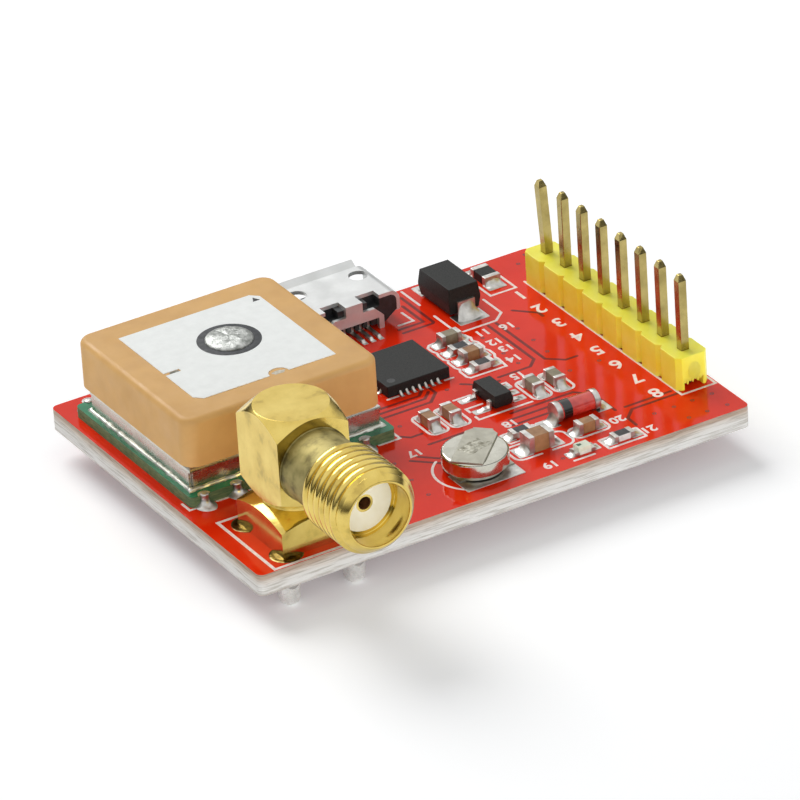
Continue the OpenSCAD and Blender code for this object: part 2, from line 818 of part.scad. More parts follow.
module jack_front_insulator() {
    rear = (insulator_d - block_w) / 2;
    front = barrel_l - recess_depth;
    color(insulator_white) at_barrel() difference() {
        translate([0, 0, rear]) cylinder(d = insulator_d, h = front - rear);
        translate([0, 0, rear - front]) cylinder(d = contact_d, h = 3 * front);
    }
}

module jack_rear_insulator() {
    color(insulator_white) difference() {
        at_jack() cylinder(d = insulator_d, h = axis_h + insulator_d / 2);
        at_jack() translate([0, 0, -board_t])
            cylinder(d = contact_d, h = board_t + axis_h + contact_d / 2);
        at_barrel() translate([0, 0, -block_w / 2]) cylinder(d = contact_d, h = block_w);
    }
}

module jack_contact() {
    middle = -block_w / 2;
    rear = middle + contact_d / 2;
    front = barrel_l - recess_depth;
    color(plated_gold) difference() {
        union() {
            at_barrel() translate([0, 0, rear]) cylinder(d = contact_d, h = front - rear);
            at_barrel() translate([0, 0, middle]) cylinder(d = tang_d, h = contact_d);
        }
        at_barrel() translate([0, 0, front - socket_depth]) cylinder(d = socket_d, h = 2 * socket_depth);
        at_jack() difference() {
            cylinder(d = contact_d, h = axis_h + contact_d / 2);
            tang_hole();
        }
    }
}

module tang_hole() {
    translate([0, 0, axis_h]) rotate([90, 0, 0]) cylinder(d = tang_d, h = block_w);
}

module jack_tail_pin() {
    low = board_t + leg_below;
    color(plated_gold) at_jack() difference() {
        translate([0, 0, -low]) cylinder(d = contact_d, h = low + axis_h + contact_d / 2);
        tang_hole();
    }
}

module jack_solder() {
    color(tin_silver) on_board() {
        leg_places() solder_cone(leg_w / sqrt(2), leg_w);
        translate([jack_x, jack_y, -board_t - solder_h]) difference() {
            cylinder(r1 = contact_d / 2 + slip_room, r2 = contact_d / 2 + solder_reach, h = solder_h);
            translate([0, 0, -solder_h]) cylinder(d = contact_d, h = 3 * solder_h);
        }
    }
}

// USB socket, with its frame at the middle of the shell's rear
module at_usb() {
    at([usb_x, usb_rear_y]) children();
}

// Cross-section of the shell, grown or shrunk by a margin
module usb_section(margin) {
    half = usb_w / 2 + margin;
    foot = half - usb_bevel;
    top = usb_h + margin;
    r = usb_corner_r + margin;
    polygon([
        [-foot, -margin], [foot, -margin], [half, usb_bevel], [half, top - r],
        [-half, top - r], [-half, usb_bevel]
    ]);
    translate([r - half, usb_bevel]) square([2 * (half - r), top - usb_bevel]);
    for (side = [-1, 1]) translate([side * (half - r), top - r]) circle(r);
}

module usb_tube(margin, from, to) {
    translate([0, to, 0]) rotate([90, 0, 0]) linear_extrude(to - from) usb_section(margin);
}

// A flared lip on one side of the mouth, at a reach from the middle that it turns about
module usb_lip(turn, reach, width) {
    root = -lip_l - usb_wall;
    rotate([0, turn, 0]) translate([0, usb_l, reach]) along_x(width) polygon([
        [root, 0], [-lip_l, 0], [0, lip_rise], [0, lip_rise - usb_wall], [-lip_l, -usb_wall],
        [root, -usb_wall]
    ]);
}

module usb_shell() {
    color(sheet_silver) at_usb() {
        difference() {
            usb_tube(0, 0, usb_l - lip_l);
            usb_tube(-usb_wall, -usb_l, 2 * usb_l);
            for (side = [-1, 1]) {
                translate([side * latch_pitch / 2, usb_l - latch_from_mouth, usb_h])
                    cylinder(d = latch_d, h = 3 * usb_wall, center = true);
                translate([side * (strip_w + rear_notch_w) / 2, 0, usb_h])
                    cube([rear_notch_w, 2 * rear_notch_l, 3 * usb_wall], center = true);
            }
            cube([usb_w, 2 * rear_cut_l, 2 * brace_low], center = true);
        }
        usb_lip(0, usb_h, lip_w);
        usb_lip(180, 0, usb_w - 2 * usb_bevel - 2 * usb_wall);
        translate([0, 0, usb_bevel + usb_side_h / 2])
            for (turn = [-90, 90]) usb_lip(turn, usb_w / 2, usb_side_h);
        usb_rear_brace();
        for (side = [-1, 1])
            translate([side * (usb_w - usb_wall) / 2, usb_l - tab_from_mouth, usb_h / 4 - board_t / 2])
                cube([usb_wall, tab_w, usb_h / 2 + board_t], center = true);
    }
}

// The strip that is bent down behind the insulator, with a cross brace and two legs
module usb_rear_brace() {
    half = brace_w / 2;
    leg = brace_leg_w;
    slant = brace_slant;
    strip = strip_w / 2;
    translate([0, -usb_wall / 2, 0]) along_y(usb_wall) polygon([
        [-strip, usb_h], [-strip, brace_high], [slant - half, brace_high], [-half, brace_high - slant],
        [-half, 0], [leg - half, 0],
        [leg - half, brace_low], [half - leg, brace_low], [half - leg, 0], [half, 0],
        [half, brace_high - slant], [half - slant, brace_high], [strip, brace_high], [strip, usb_h]
    ]);
    translate([-strip, -usb_wall, usb_h - usb_wall]) cube([strip_w, 2 * usb_wall, usb_wall]);
}

module usb_insulator() {
    slot_w = usb_contact_w + 2 * slip_room;
    color(moulded_black) at_usb() difference() {
        union() {
            usb_tube(-usb_wall, 0, insulator_l);
            translate([-tongue_w / 2, 0, tongue_low]) cube([tongue_w, tongue_l, tongue_t]);
        }
        usb_contact_places() translate([-slot_w / 2, -insulator_l, -tongue_low])
            cube([slot_w, 3 * insulator_l, 2 * tongue_low]);
        for (side = [-1, 1])
            translate([side * (strip_w + rear_notch_w + lug_w) / 2, 0, usb_h - usb_wall])
                cube([rear_notch_w - lug_w, 2 * rear_notch_l, 2 * lug_drop], center = true);
    }
}

module usb_contact_places() {
    first = -(usb_contact_count - 1) / 2 * usb_contact_pitch;
    for (i = [0:usb_contact_count - 1]) translate([first + i * usb_contact_pitch, 0, 0]) children();
}

module usb_contacts() {
    t = usb_contact_t;
    bend = usb_contact_bend;
    tip = tongue_l - usb_contact_back;
    color(plated_gold) at_usb() usb_contact_places() along_x(usb_contact_w) polygon([
        [-usb_foot_l, 0], [bend + t, 0], [bend + t, tongue_low - t], [tip, tongue_low - t],
        [tip, tongue_low], [bend, tongue_low], [bend, t], [-usb_foot_l, t]
    ]);
}

// Interface chip
module chip_terminal_places() {
    first = -(chip_terminal_count - 1) / 2 * chip_terminal_pitch;
    for (turn = [0:90:270], i = [0:chip_terminal_count - 1])
        rotate(turn) translate([first + i * chip_terminal_pitch, -chip_w / 2, 0]) children();
}

module chip_terminal() {
    translate([-chip_terminal_w / 2, -chip_terminal_reach, 0])
        cube([chip_terminal_w, chip_terminal_l + chip_terminal_reach, chip_terminal_t]);
}

module interface_chip() {
    color(moulded_black) at(chip_at) difference() {
        linear_extrude(chip_h) square(chip_w, center = true);
        chip_terminal_places() chip_terminal();
    }
}

module interface_chip_terminals() {
    color(tin_silver) at(chip_at) chip_terminal_places() chip_terminal();
}

// Pin header
module header_housing() {
    color(housing_yellow) on_board() difference() {
        header_places() linear_extrude(housing_h) segment_outline();
        translate([header_x - groove_w / 2, header_y - pin_pitch, -groove_h])
            cube([groove_w, (pin_count + 1) * pin_pitch, 2 * groove_h]);
        header_places() cube([pin_w, pin_w, 4 * housing_h], center = true);
    }
}

module segment_outline() {
    half = pin_pitch / 2;
    cut = half - housing_cut;
    polygon([
        [half, -cut], [half, cut], [cut, half], [-cut, half],
        [-half, cut], [-half, -cut], [-cut, -half], [cut, -half]
    ]);
}

// A pin is straight up to its bend, which is a pin's width above the housing
module header_pin(i) {
    lean = i == 1 ? bent_pin_lean : 0;
    place = [header_x, header_y + (pin_count - i) * pin_pitch];
    bend = housing_h + pin_w;
    free = pin_above - pin_w;
    low = board_t + pin_below;
    color(plated_gold) {
        at(place) intersection() {
            square_pin(pin_w, -low, bend + pin_above, pin_tip);
            translate([-pin_w, -pin_w, -low]) cube([2 * pin_w, 2 * pin_w, low + bend]);
        }
        at(place, bend) rotate([0, -lean, 0]) intersection() {
            square_pin(pin_w, -free, free, pin_tip);
            translate([-pin_w, -pin_w, 0]) cube([2 * pin_w, 2 * pin_w, free]);
        }
    }
}

module header_solder() {
    color(tin_silver) on_board() header_places() solder_cone(pin_w / sqrt(2), pin_w);
}

// Backup cell: the can is on top and the cap rests on the lower tab
module cell_can() {
    color(sheet_silver) at(cell_at, cell_can_bottom)
        rotate_extrude() half_shoulder(cell_d / 2, cell_can_h, cell_edge_r);
}

module cell_cap() {
    color(sheet_silver) at(cell_at, cell_tab_t) cylinder(d = cell_cap_d, h = cell_cap_h);
}

// The upper tab lies on the can, and its narrower leg goes down beside the can to a foot
module cell_upper_tab() {
    t = cell_tab_t;
    half = cell_tab_w / 2;
    leg = cell_leg_w / 2;
    bend = cell_d / 2 + cell_leg_gap;
    knee = bend - half + leg;
    color(tin_silver) at(cell_at) rotate(cell_tab_turn) {
        translate([0, 0, cell_top]) linear_extrude(t) polygon([
            [-cell_tab_back, -half], [knee, -half], [bend, -leg], [bend, leg], [knee, half],
            [-cell_tab_back, half]
        ]);
        along_y(cell_leg_w) polygon([
            [bend, 0], [bend + cell_foot_l, 0], [bend + cell_foot_l, t], [bend + t, t],
            [bend + t, cell_top + t], [bend, cell_top + t]
        ]);
    }
}

module cell_lower_tab() {
    color(tin_silver) at(cell_at)
        translate([-cell_cap_d / 2, -cell_tab_w / 2, 0])
            cube([cell_cap_d / 2 + cell_lower_reach, cell_tab_w, cell_tab_t]);
}

// Power diode
module power_diode() {
    color(moulded_black) at(diode_at)
        moulded(diode_w, diode_l, diode_standoff, diode_h, diode_lead_low, diode_lead_high, diode_draft);
}

module power_diode_leads() {
    t = diode_lead_t;
    face = diode_l / 2;
    color(tin_silver) at(diode_at) for (turn = [0, 180]) rotate(turn) along_x(diode_lead_w) polygon([
        [face - diode_foot_l, 0], [face + t, 0], [face + t, diode_lead_high], [face, diode_lead_high],
        [face, t], [face - diode_foot_l, t]
    ]);
}

// Regulator
module regulator() {
    color(moulded_black) at(regulator_at) moulded(
        regulator_w, regulator_l, regulator_standoff, regulator_h,
        regulator_lead_low, regulator_lead_high, regulator_draft
    );
}

module regulator_leads() {
    color(tin_silver) at(regulator_at) {
        for (y = [-1, 1]) translate([0, y * regulator_pitch / 2, 0]) mirror([1, 0, 0]) regulator_lead();
        for (y = [-1, 0, 1]) translate([0, y * regulator_pitch / 2, 0]) regulator_lead();
    }
}

module regulator_lead() {
    t = regulator_lead_t;
    face = regulator_w / 2;
    knee = face + regulator_lead_bend;
    end = face + regulator_lead_reach;
    along_y(regulator_lead_w) polygon([
        [face, regulator_lead_low], [knee - t, regulator_lead_low], [knee - t, 0], [end, 0], [end, t],
        [knee, t], [knee, regulator_lead_high], [face, regulator_lead_high]
    ]);
}

// Signal diode
module at_melf() {
    at(melf_at, melf_cap_d / 2) rotate([0, 90, 0]) children();
}

module signal_diode_glass() {
    color(glass_red) at_melf() cylinder(d = melf_glass_d, h = melf_l - 2 * melf_cap_l, center = true);
}

module signal_diode_caps() {
    color(tin_silver) at_melf() for (side = [0, 1]) mirror([0, 0, side])
        translate([0, 0, melf_l / 2 - melf_cap_l]) cylinder(d = melf_cap_d, h = melf_cap_l);
}

// Chip parts
module chip_middle(size, end_l) {
    linear_extrude(size[2]) square([size[0] - 2 * end_l, size[1]], center = true);
}

module chip_ends(size, end_l) {
    width = size[1] + 2 * end_proud;
    for (side = [-1, 1])
        translate([side * (size[0] - end_l) / 2, 0, 0])
            linear_extrude(size[2] + end_proud) square([end_l, width], center = true);
}

// Indicator lamp
module lamp_base() {
    color(lamp_white) at(led_at) chip_middle(lamp_size, small_end_l);
}

module lamp_lens() {
    color(lens_green) at(led_at, led_base_t)
        pressed(led_lens_l, small_w, led_h - led_base_t, (led_h - led_base_t) / 4);
}

module lamp_terminals() {
    color(tin_silver) at(led_at) difference() {
        chip_ends(lamp_size, small_end_l);
        translate([0, 0, led_base_t + small_w]) cube([led_lens_l, 2 * small_w, 2 * small_w], center = true);
    }
}

module fuse() {
    color(moulded_black) at(fuse_at) rotate(90) chip_middle(fuse_size, large_end_l);
}

module capacitor(i) {
    last = i == capacitor_count;
    color(capacitor_tan) at(capacitor_at[i - 1]) rotate(capacitor_turn[i - 1])
        chip_middle(last ? large_size : small_size, last ? large_end_l : small_end_l);
}

module resistor(i) {
    color(resistor_white) at(resistor_at[i - 1]) chip_middle(resistor_size, small_end_l);
}

module chip_terminals() {
    color(tin_silver) {
        for (i = [0:capacitor_count - 2])
            at(capacitor_at[i]) rotate(capacitor_turn[i]) chip_ends(small_size, small_end_l);
        at(capacitor_at[capacitor_count - 1]) chip_ends(large_size, large_end_l);
        for (i = [0:resistor_count - 1]) at(resistor_at[i]) chip_ends(resistor_size, small_end_l);
        at(fuse_at) rotate(90) chip_ends(fuse_size, large_end_l);
    }
}

main_board();
receiver_carrier();
receiver_chip();
receiver_crystal();
shield_can();
antenna_tape();
antenna_ceramic();
antenna_electrode();
antenna_feed_pin();
receiver_solder();
jack_body();
jack_barrel();
jack_front_insulator();
jack_rear_insulator();
jack_contact();
jack_tail_pin();
jack_solder();
usb_shell();
usb_insulator();
usb_contacts();
interface_chip();
interface_chip_terminals();
header_housing();
for (i = [1:pin_count]) header_pin(i);
header_solder();
cell_can();
cell_cap();
cell_upper_tab();
cell_lower_tab();
power_diode();
power_diode_leads();
regulator();
regulator_leads();
signal_diode_glass();
signal_diode_caps();
lamp_base();
lamp_lens();
lamp_terminals();
fuse();
for (i = [1:capacitor_count]) capacitor(i);
for (i = [1:resistor_count]) resistor(i);
chip_terminals();
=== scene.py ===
import math

import bmesh
import bpy
from mathutils import Matrix, Vector, noise

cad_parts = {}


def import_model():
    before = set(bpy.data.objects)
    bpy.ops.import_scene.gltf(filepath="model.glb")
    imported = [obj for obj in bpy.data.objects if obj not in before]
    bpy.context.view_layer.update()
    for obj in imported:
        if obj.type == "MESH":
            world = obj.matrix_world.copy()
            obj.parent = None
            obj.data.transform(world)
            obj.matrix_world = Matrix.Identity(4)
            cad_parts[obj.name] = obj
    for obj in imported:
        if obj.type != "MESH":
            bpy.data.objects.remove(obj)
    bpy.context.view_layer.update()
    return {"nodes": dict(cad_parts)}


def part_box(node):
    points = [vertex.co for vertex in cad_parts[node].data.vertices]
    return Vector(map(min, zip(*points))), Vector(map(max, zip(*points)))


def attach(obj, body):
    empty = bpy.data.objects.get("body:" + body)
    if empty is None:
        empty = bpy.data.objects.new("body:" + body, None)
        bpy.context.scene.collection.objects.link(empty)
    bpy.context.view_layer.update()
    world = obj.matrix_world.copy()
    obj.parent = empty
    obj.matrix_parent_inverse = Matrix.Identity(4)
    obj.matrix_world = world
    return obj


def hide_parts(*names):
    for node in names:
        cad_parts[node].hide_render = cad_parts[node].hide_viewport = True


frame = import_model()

MM = 0.001
NODES = frame["nodes"]
board_low, board_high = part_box("main_board")
# Places are in millimetres from the front left corner of the board's top face
CORNER = Vector((board_low.x, board_low.y, board_high.z))
BOARD_T = (board_high.z - board_low.z) / MM
# Depth to which an added piece sinks into the face that it lies on
SINK = 0.01
# Pitch of the header's pins and the castellations, and half the pitch of the jack's legs
GRID = 2.54
# Middle of the jack's legs
JACK_X, JACK_Y = 5.5, 4.05


def node_box(name):
    low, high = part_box(name)
    return (low - CORNER) / MM, (high - CORNER) / MM


# Shapes
class Shape:
    def __init__(self):
        self.points = []
        self.faces = []

    def add(self, points, faces):
        start = len(self.points)
        self.points += [tuple(p) for p in points]
        self.faces += [[start + i for i in face] for face in faces]


def loft(shape, rings, wrap=False):
    """A skin over a row of rings, which closes on itself or is capped at its ends."""
    count = len(rings[0])
    faces = []
    for row in range(len(rings) if wrap else len(rings) - 1):
        a, b = row * count, (row + 1) % len(rings) * count
        for i in range(count):
            j = (i + 1) % count
            faces.append([a + i, a + j, b + j, b + i])
    if not wrap:
        faces.append(list(range(count))[::-1])
        faces.append([(len(rings) - 1) * count + i for i in range(count)])
    shape.add([p for ring in rings for p in ring], faces)


# A mitre at a sharp corner is cut short here
MITRE_LIMIT = 0.4


def offset_path(path, distance, closed):
    path = [Vector(p) for p in path]
    moved = []
    for i, p in enumerate(path):
        normals = []
        if closed or i > 0:
            edge = (p - path[i - 1]).normalized()
            normals.append(Vector((-edge.y, edge.x)))
        if closed or i < len(path) - 1:
            edge = (path[(i + 1) % len(path)] - p).normalized()
            normals.append(Vector((-edge.y, edge.x)))
        if len(normals) == 2:
            mitre = (normals[0] + normals[1]) / max(MITRE_LIMIT, 1 + normals[0].dot(normals[1]))
        else:
            mitre = normals[0]
        moved.append(p + mitre * distance)
    return moved


# Points that round a line's end: reach past it and half width, as parts of the line's own
ROUND_END = ((0.3, 0.8), (0.46, 0.4))


def ribbon(shape, path, width, low, high, closed=False):
    left = offset_path(path, width / 2, closed)
    right = offset_path(path, -width / 2, closed)
    if not closed:
        for end, beside in ((0, 1), (-1, -2)):
            out = (Vector(path[end]) - Vector(path[beside])).normalized() * width
            side = (left[end] - right[end]) / 2
            for reach, part in ROUND_END:
                middle = Vector(path[end]) + out * reach
                at = 0 if end == 0 else len(left)
                left.insert(at, middle + side * part)
                right.insert(at, middle - side * part)
    rings = []
    for l, r in zip(left, right):
        rings.append([(l.x, l.y, low), (l.x, l.y, high), (r.x, r.y, high), (r.x, r.y, low)])
    loft(shape, rings, wrap=closed)


def slab(shape, outline, low, high, bevel=0.0):
    foot = [(x, y, low) for x, y in outline]
    shoulder = [(x, y, high - bevel) for x, y in outline]
    top = [(p.x, p.y, high) for p in offset_path(outline, bevel, True)]
    loft(shape, [foot, shoulder, top])


def arc(cx, cy, r, start, end, steps=24):
    points = []
    for i in range(steps + 1):
        a = math.radians(start + (end - start) * i / steps)
        points.append((cx + r * math.cos(a), cy + r * math.sin(a)))
    return points


def round_rect(x0, y0, x1, y1, r, steps=5):
    points = []
    corners = ((x1 - r, y0 + r, -90), (x1 - r, y1 - r, 0), (x0 + r, y1 - r, 90), (x0 + r, y0 + r, 180))
    for cx, cy, start in corners:
        points += arc(cx, cy, r, start, start + 90, steps)
    return points


def circle(steps):
    """Unit vectors round one turn."""
    angles = [2 * math.pi * i / steps for i in range(steps)]
    return [(math.cos(a), math.sin(a)) for a in angles]


def revolve(shape, profile, steps, seat):
    loft(shape, [[seat(r * u, r * v, h) for u, v in circle(steps)] for r, h in profile])


def upright(x, y, z=0.0):
    return lambda u, v, h: (x + u, y + v, z + h)


def solid_patch(shape, grid, low):
    """A solid between a grid of points and a level below it."""
    rows, cols = len(grid), len(grid[0])
    top = [p for row in grid for p in row]
    bottom = [(x, y, low) for x, y, _ in top]
    shift = rows * cols
    faces = []
    for r in range(rows - 1):
        for c in range(cols - 1):
            a, b = r * cols + c, (r + 1) * cols + c
            faces.append([a, a + 1, b + 1, b])
            faces.append([shift + a, shift + b, shift + b + 1, shift + a + 1])
    rim = list(range(cols))
    rim += [r * cols + cols - 1 for r in range(1, rows)]
    rim += [(rows - 1) * cols + c for c in range(cols - 2, -1, -1)]
    rim += [r * cols for r in range(rows - 2, 0, -1)]
    for i, a in enumerate(rim):
        b = rim[(i + 1) % len(rim)]
        faces.append([a, shift + a, shift + b, b])
    shape.add(top + bottom, faces)


def heading(turn):
    """Unit vectors along and across a direction in degrees."""
    out = Vector((math.cos(math.radians(turn)), math.sin(math.radians(turn))))
    return out, Vector((-out.y, out.x))


# A fillet's unevenness, rounded foot, fall to its sides, skirt and film
UNEVEN, FOOT_ROUND, SIDE_FALL, SKIRT, FILM = 0.12, 0.28, 0.45, 0.05, 0.012


def fillet(shape, x, y, turn, width, height, reach, flare=0.2, sag=2.4):
    """Solder that runs down from a terminal at (x, y) outward along turn degrees."""
    out, side = heading(turn)
    seed = Vector((x * 3.1, y * 2.7, turn))
    steps = 10
    grid = []
    for i in range(steps + 1):
        u = i / steps
        row = []
        for j in range(steps + 1):
            v = 2 * j / steps - 1
            wave = 1 + UNEVEN * noise.noise(seed + Vector((u * 2.0, v * 1.5, 0)))
            spread = u * reach * (1 - FOOT_ROUND * v * v) * wave
            p = Vector((x, y)) + out * spread + side * v * width / 2 * (1 + flare * u)
            rise = height * (1 - u) ** sag * (1 - SIDE_FALL * abs(v) ** 3) * wave
            edge = SKIRT * (1 - u**6) * (1 - v**8)
            row.append((p.x, p.y, FILM + rise + edge))
        grid.append(row)
    solid_patch(shape, grid, -SINK)


# A bead's section as parts of its half width and height, the length of its steps and its depth
BEAD_SECTION = ((-1, 0.0), (-0.7, 0.62), (0, 1.0), (0.7, 0.62), (1, 0.0))
BEAD_STEP, BEAD_SINK = 0.18, 0.02


def bead(shape, path, width, height, low, rough):
    """A line of solder with an uneven top round a closed path."""
    fine = []
    for i, corner in enumerate(path):
        a, b = Vector(corner), Vector(path[(i + 1) % len(path)])
        steps = max(2, int((b - a).length / BEAD_STEP))
        fine += [a.lerp(b, s / steps) for s in range(steps)]
    rails = [offset_path(fine, width / 2 * across, True) for across, _ in BEAD_SECTION]
    rings = []
    for i, p in enumerate(fine):
        swell = 1 + rough * noise.noise(Vector((p.x * 1.7, p.y * 1.7, low)))
        ring = []
        for rail, (_, rise) in zip(rails, BEAD_SECTION):
            q = p.lerp(rail[i], swell)
            ring.append((q.x, q.y, low + height * rise * swell))
        for rail in (rails[-1], rails[0]):
            ring.append((rail[i].x, rail[i].y, low - BEAD_SINK))
        rings.append(ring)
    loft(shape, rings, wrap=True)


def build(name, shape, material, replaces=(), angle=38):
    """Make a shape into a piece on root; edges sharper than the angle stay sharp."""
    mesh = bpy.data.meshes.new(name)
    mesh.from_pydata([CORNER + Vector(p) * MM for p in shape.points], [], shape.faces)
    work = bmesh.new()
    work.from_mesh(mesh)
    bmesh.ops.recalc_face_normals(work, faces=work.faces)
    work.to_mesh(mesh)
    work.free()
    mesh.shade_smooth()
    mesh.set_sharp_from_angle(angle=math.radians(angle))
    mesh.materials.append(material)
    piece = bpy.data.objects.new(name, mesh)
    bpy.context.scene.collection.objects.link(piece)
    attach(piece, "root")
    if replaces:
        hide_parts(*replaces)


# Materials
def lin(*levels):
    """Linear values of sRGB levels."""
    return [c / 255 / 12.92 if c <= 10 else ((c / 255 + 0.055) / 1.055) ** 2.4 for c in levels]


class Graph:
    """A cleared node tree and short ways to fill it."""

    def __init__(self, owner, output):
        owner.use_nodes = True
        self.tree = owner.node_tree
        self.tree.nodes.clear()
        self.output = self.node(output)

    def node(self, kind, **settings):
        made = self.tree.nodes.new(kind)
        for key, value in settings.items():
            setattr(made, key, value)
        return made

    def link(self, a, b):
        self.tree.links.new(a, b)

    def put(self, value, socket):
        if isinstance(value, bpy.types.NodeSocket):
            self.link(value, socket)
        else:
            socket.default_value = value

    def math(self, operation, *values):
        made = self.node("ShaderNodeMath", operation=operation)
        for value, socket in zip(values, made.inputs):
            self.put(value, socket)
        return made.outputs["Value"]

    def axis(self, source, key):
        made = self.node("ShaderNodeSeparateXYZ")
        self.link(source, made.inputs["Vector"])
        return made.outputs[key]

    def fit(self, source, from_low, from_high, to_low, to_high):
        made = self.node("ShaderNodeMapRange")
        limits = (from_low, from_high, to_low, to_high)
        for key, value in zip(("From Min", "From Max", "To Min", "To Max"), limits):
            made.inputs[key].default_value = value
        self.link(source, made.inputs["Value"])
        return made.outputs["Result"]

    def ramp(self, source, stops):
        made = self.node("ShaderNodeValToRGB")
        elements = made.color_ramp.elements
        while len(elements) < len(stops):
            elements.new(0.5)
        for element, (place, colour) in zip(elements, stops):
            element.position = place
            element.color = (*colour, 1)
        self.link(source, made.inputs["Fac"])
        return made.outputs["Color"]

    def mix(self, factor, a, b, **settings):
        made = self.node("ShaderNodeMix", **settings)
        for key, value in (("Factor", factor), ("A", a), ("B", b)):
            self.put(value, made.inputs[key])
        return made.outputs["Result"]

    def finish(self, shader):
        self.link(shader, self.output.inputs["Surface"])


# Where the noise's values mostly lie, and how its octaves fall off
NOISE_LOW, NOISE_HIGH, NOISE_FALL = 0.3, 0.7, 0.55


class Paint(Graph):
    """A node material whose textures are in millimetres."""

    def __init__(self, name):
        self.material = bpy.data.materials.new(name)
        super().__init__(self.material, "ShaderNodeOutputMaterial")
        self.coords = self.node("ShaderNodeTexCoord").outputs
        self.mm = self.mapped(self.coords["Object"], (1 / MM, 1 / MM, 1 / MM))

    def mapped(self, source, scale):
        made = self.node("ShaderNodeMapping")
        made.inputs["Scale"].default_value = scale
        self.link(source, made.inputs["Vector"])
        return made.outputs["Vector"]

    def noise(self, grain, detail=3.0, stretch=None):
        made = self.node("ShaderNodeTexNoise")
        made.inputs["Scale"].default_value = grain
        made.inputs["Detail"].default_value = detail
        made.inputs["Roughness"].default_value = NOISE_FALL
        self.link(self.mapped(self.mm, stretch) if stretch else self.mm, made.inputs["Vector"])
        return made.outputs["Fac"]

    def spread(self, source, low, high):
        return self.fit(source, NOISE_LOW, NOISE_HIGH, low, high)

    def bump(self, source, height):
        made = self.node("ShaderNodeBump")
        made.inputs["Distance"].default_value = height * MM
        self.link(source, made.inputs["Height"])
        return made.outputs["Normal"]

    def shader(self, colour, rough, normal=None, **sockets):
        made = self.node("ShaderNodeBsdfPrincipled")
        self.link(colour, made.inputs["Base Color"])
        self.link(rough, made.inputs["Roughness"])
        if normal:
            self.link(normal, made.inputs["Normal"])
        for key, value in sockets.items():
            made.inputs[key.replace("_", " ")].default_value = value
        return made.outputs["BSDF"]

    def finish(self, shader):
        super().finish(shader)
        return self.material


def plain(
    name, dark, light, grain, rough, height=0.0, height_grain=None, detail=3.0, stretch=None, **sockets
):
    """One stuff whose colour and gloss wander between two limits, with a fine relief."""
    paint = Paint(name)
    tone = paint.noise(grain, detail, stretch)
    colour = paint.ramp(tone, [(0.32, dark), (0.68, light)])
    gloss = paint.spread(paint.noise(grain * 1.7, detail, stretch), *rough)
    normal = paint.bump(paint.noise(height_grain, 2.0, stretch), height) if height else None
    return paint.finish(paint.shader(colour, gloss, normal, **sockets))


def metal(*stuff, **more):
    return plain(*stuff, Metallic=1.0, **more)


def split_by_slope(paint, level, steep):
    """One shader on faces that look up or down, another on upright faces."""
    slope = paint.math("ABSOLUTE", paint.axis(paint.coords["Normal"], "Z"))
    both = paint.node("ShaderNodeMixShader")
    paint.link(paint.math("LESS_THAN", slope, 0.5), both.inputs["Fac"])
    paint.link(level, both.inputs[1])
    paint.link(steep, both.inputs[2])
    return both.outputs["Shader"]


def board_material():
    """Red mask on both faces, duller underneath where no copper backs it, and layered fibre at the edges."""
    paint = Paint("red_board")
    tone = paint.noise(0.35, 4.0)
    over_copper = paint.ramp(tone, [(0.3, (0.74, 0.018, 0.001)), (0.7, (0.82, 0.026, 0.002))])
    over_fibre = paint.ramp(tone, [(0.3, (0.20, 0.010, 0.006)), (0.7, (0.26, 0.016, 0.010))])
    under = paint.math("LESS_THAN", paint.axis(paint.coords["Normal"], "Z"), 0)
    mask = paint.shader(
        paint.mix(under, over_copper, over_fibre, data_type="RGBA"),
        paint.spread(paint.noise(1.2), 0.07, 0.13),
        paint.bump(paint.noise(0.9, 2.0), 0.012),
        Specular_IOR_Level=0.2,
    )

    level = paint.fit(paint.axis(paint.mm, "Z"), board_low.z / MM, board_high.z / MM, 0, 1)
    wander = paint.math("MULTIPLY_ADD", paint.noise(1.3, 5.0, (0.35, 0.35, 4)), 0.36, level)
    layers = paint.ramp(
        wander,
        [
            (0.15, lin(204, 196, 188)),
            (0.32, lin(228, 226, 222)),
            (0.62, lin(224, 221, 216)),
            (0.86, lin(213, 203, 193)),
            (1.0, lin(182, 160, 142)),
        ],
    )
    fibres = paint.noise(1.6, 6.0, (0.3, 0.3, 6))
    streaks = paint.ramp(fibres, [(0.36, lin(204, 199, 192)), (0.52, lin(255, 255, 255))])
    fibre = paint.shader(
        paint.mix(0.85, layers, streaks, data_type="RGBA", blend_type="MULTIPLY"),
        paint.spread(paint.noise(4.0), 0.55, 0.8),
        paint.bump(paint.noise(3.0, 4.0, (1, 1, 5)), 0.05),
    )
    return paint.finish(split_by_slope(paint, mask, fibre))


def carrier_material():
    """Green mask on the faces, brown fibre at the cut edges."""
    paint = Paint("green_carrier")
    tone = paint.noise(0.8)
    mask_colour = paint.ramp(tone, [(0.32, lin(4, 104, 66)), (0.68, lin(16, 134, 88))])
    mask_normal = paint.bump(paint.noise(2.0, 2.0), 0.01)
    mask = paint.shader(mask_colour, paint.spread(paint.noise(1.4), 0.16, 0.28), mask_normal)
    grain = paint.noise(1.8, 5.0, (0.8, 0.8, 5))
    fibre_colour = paint.ramp(grain, [(0.3, lin(48, 92, 58)), (0.7, lin(112, 128, 86))])
    fibre = paint.shader(fibre_colour, paint.spread(paint.noise(4.0), 0.5, 0.75), paint.bump(grain, 0.03))
    return paint.finish(split_by_slope(paint, mask, fibre))


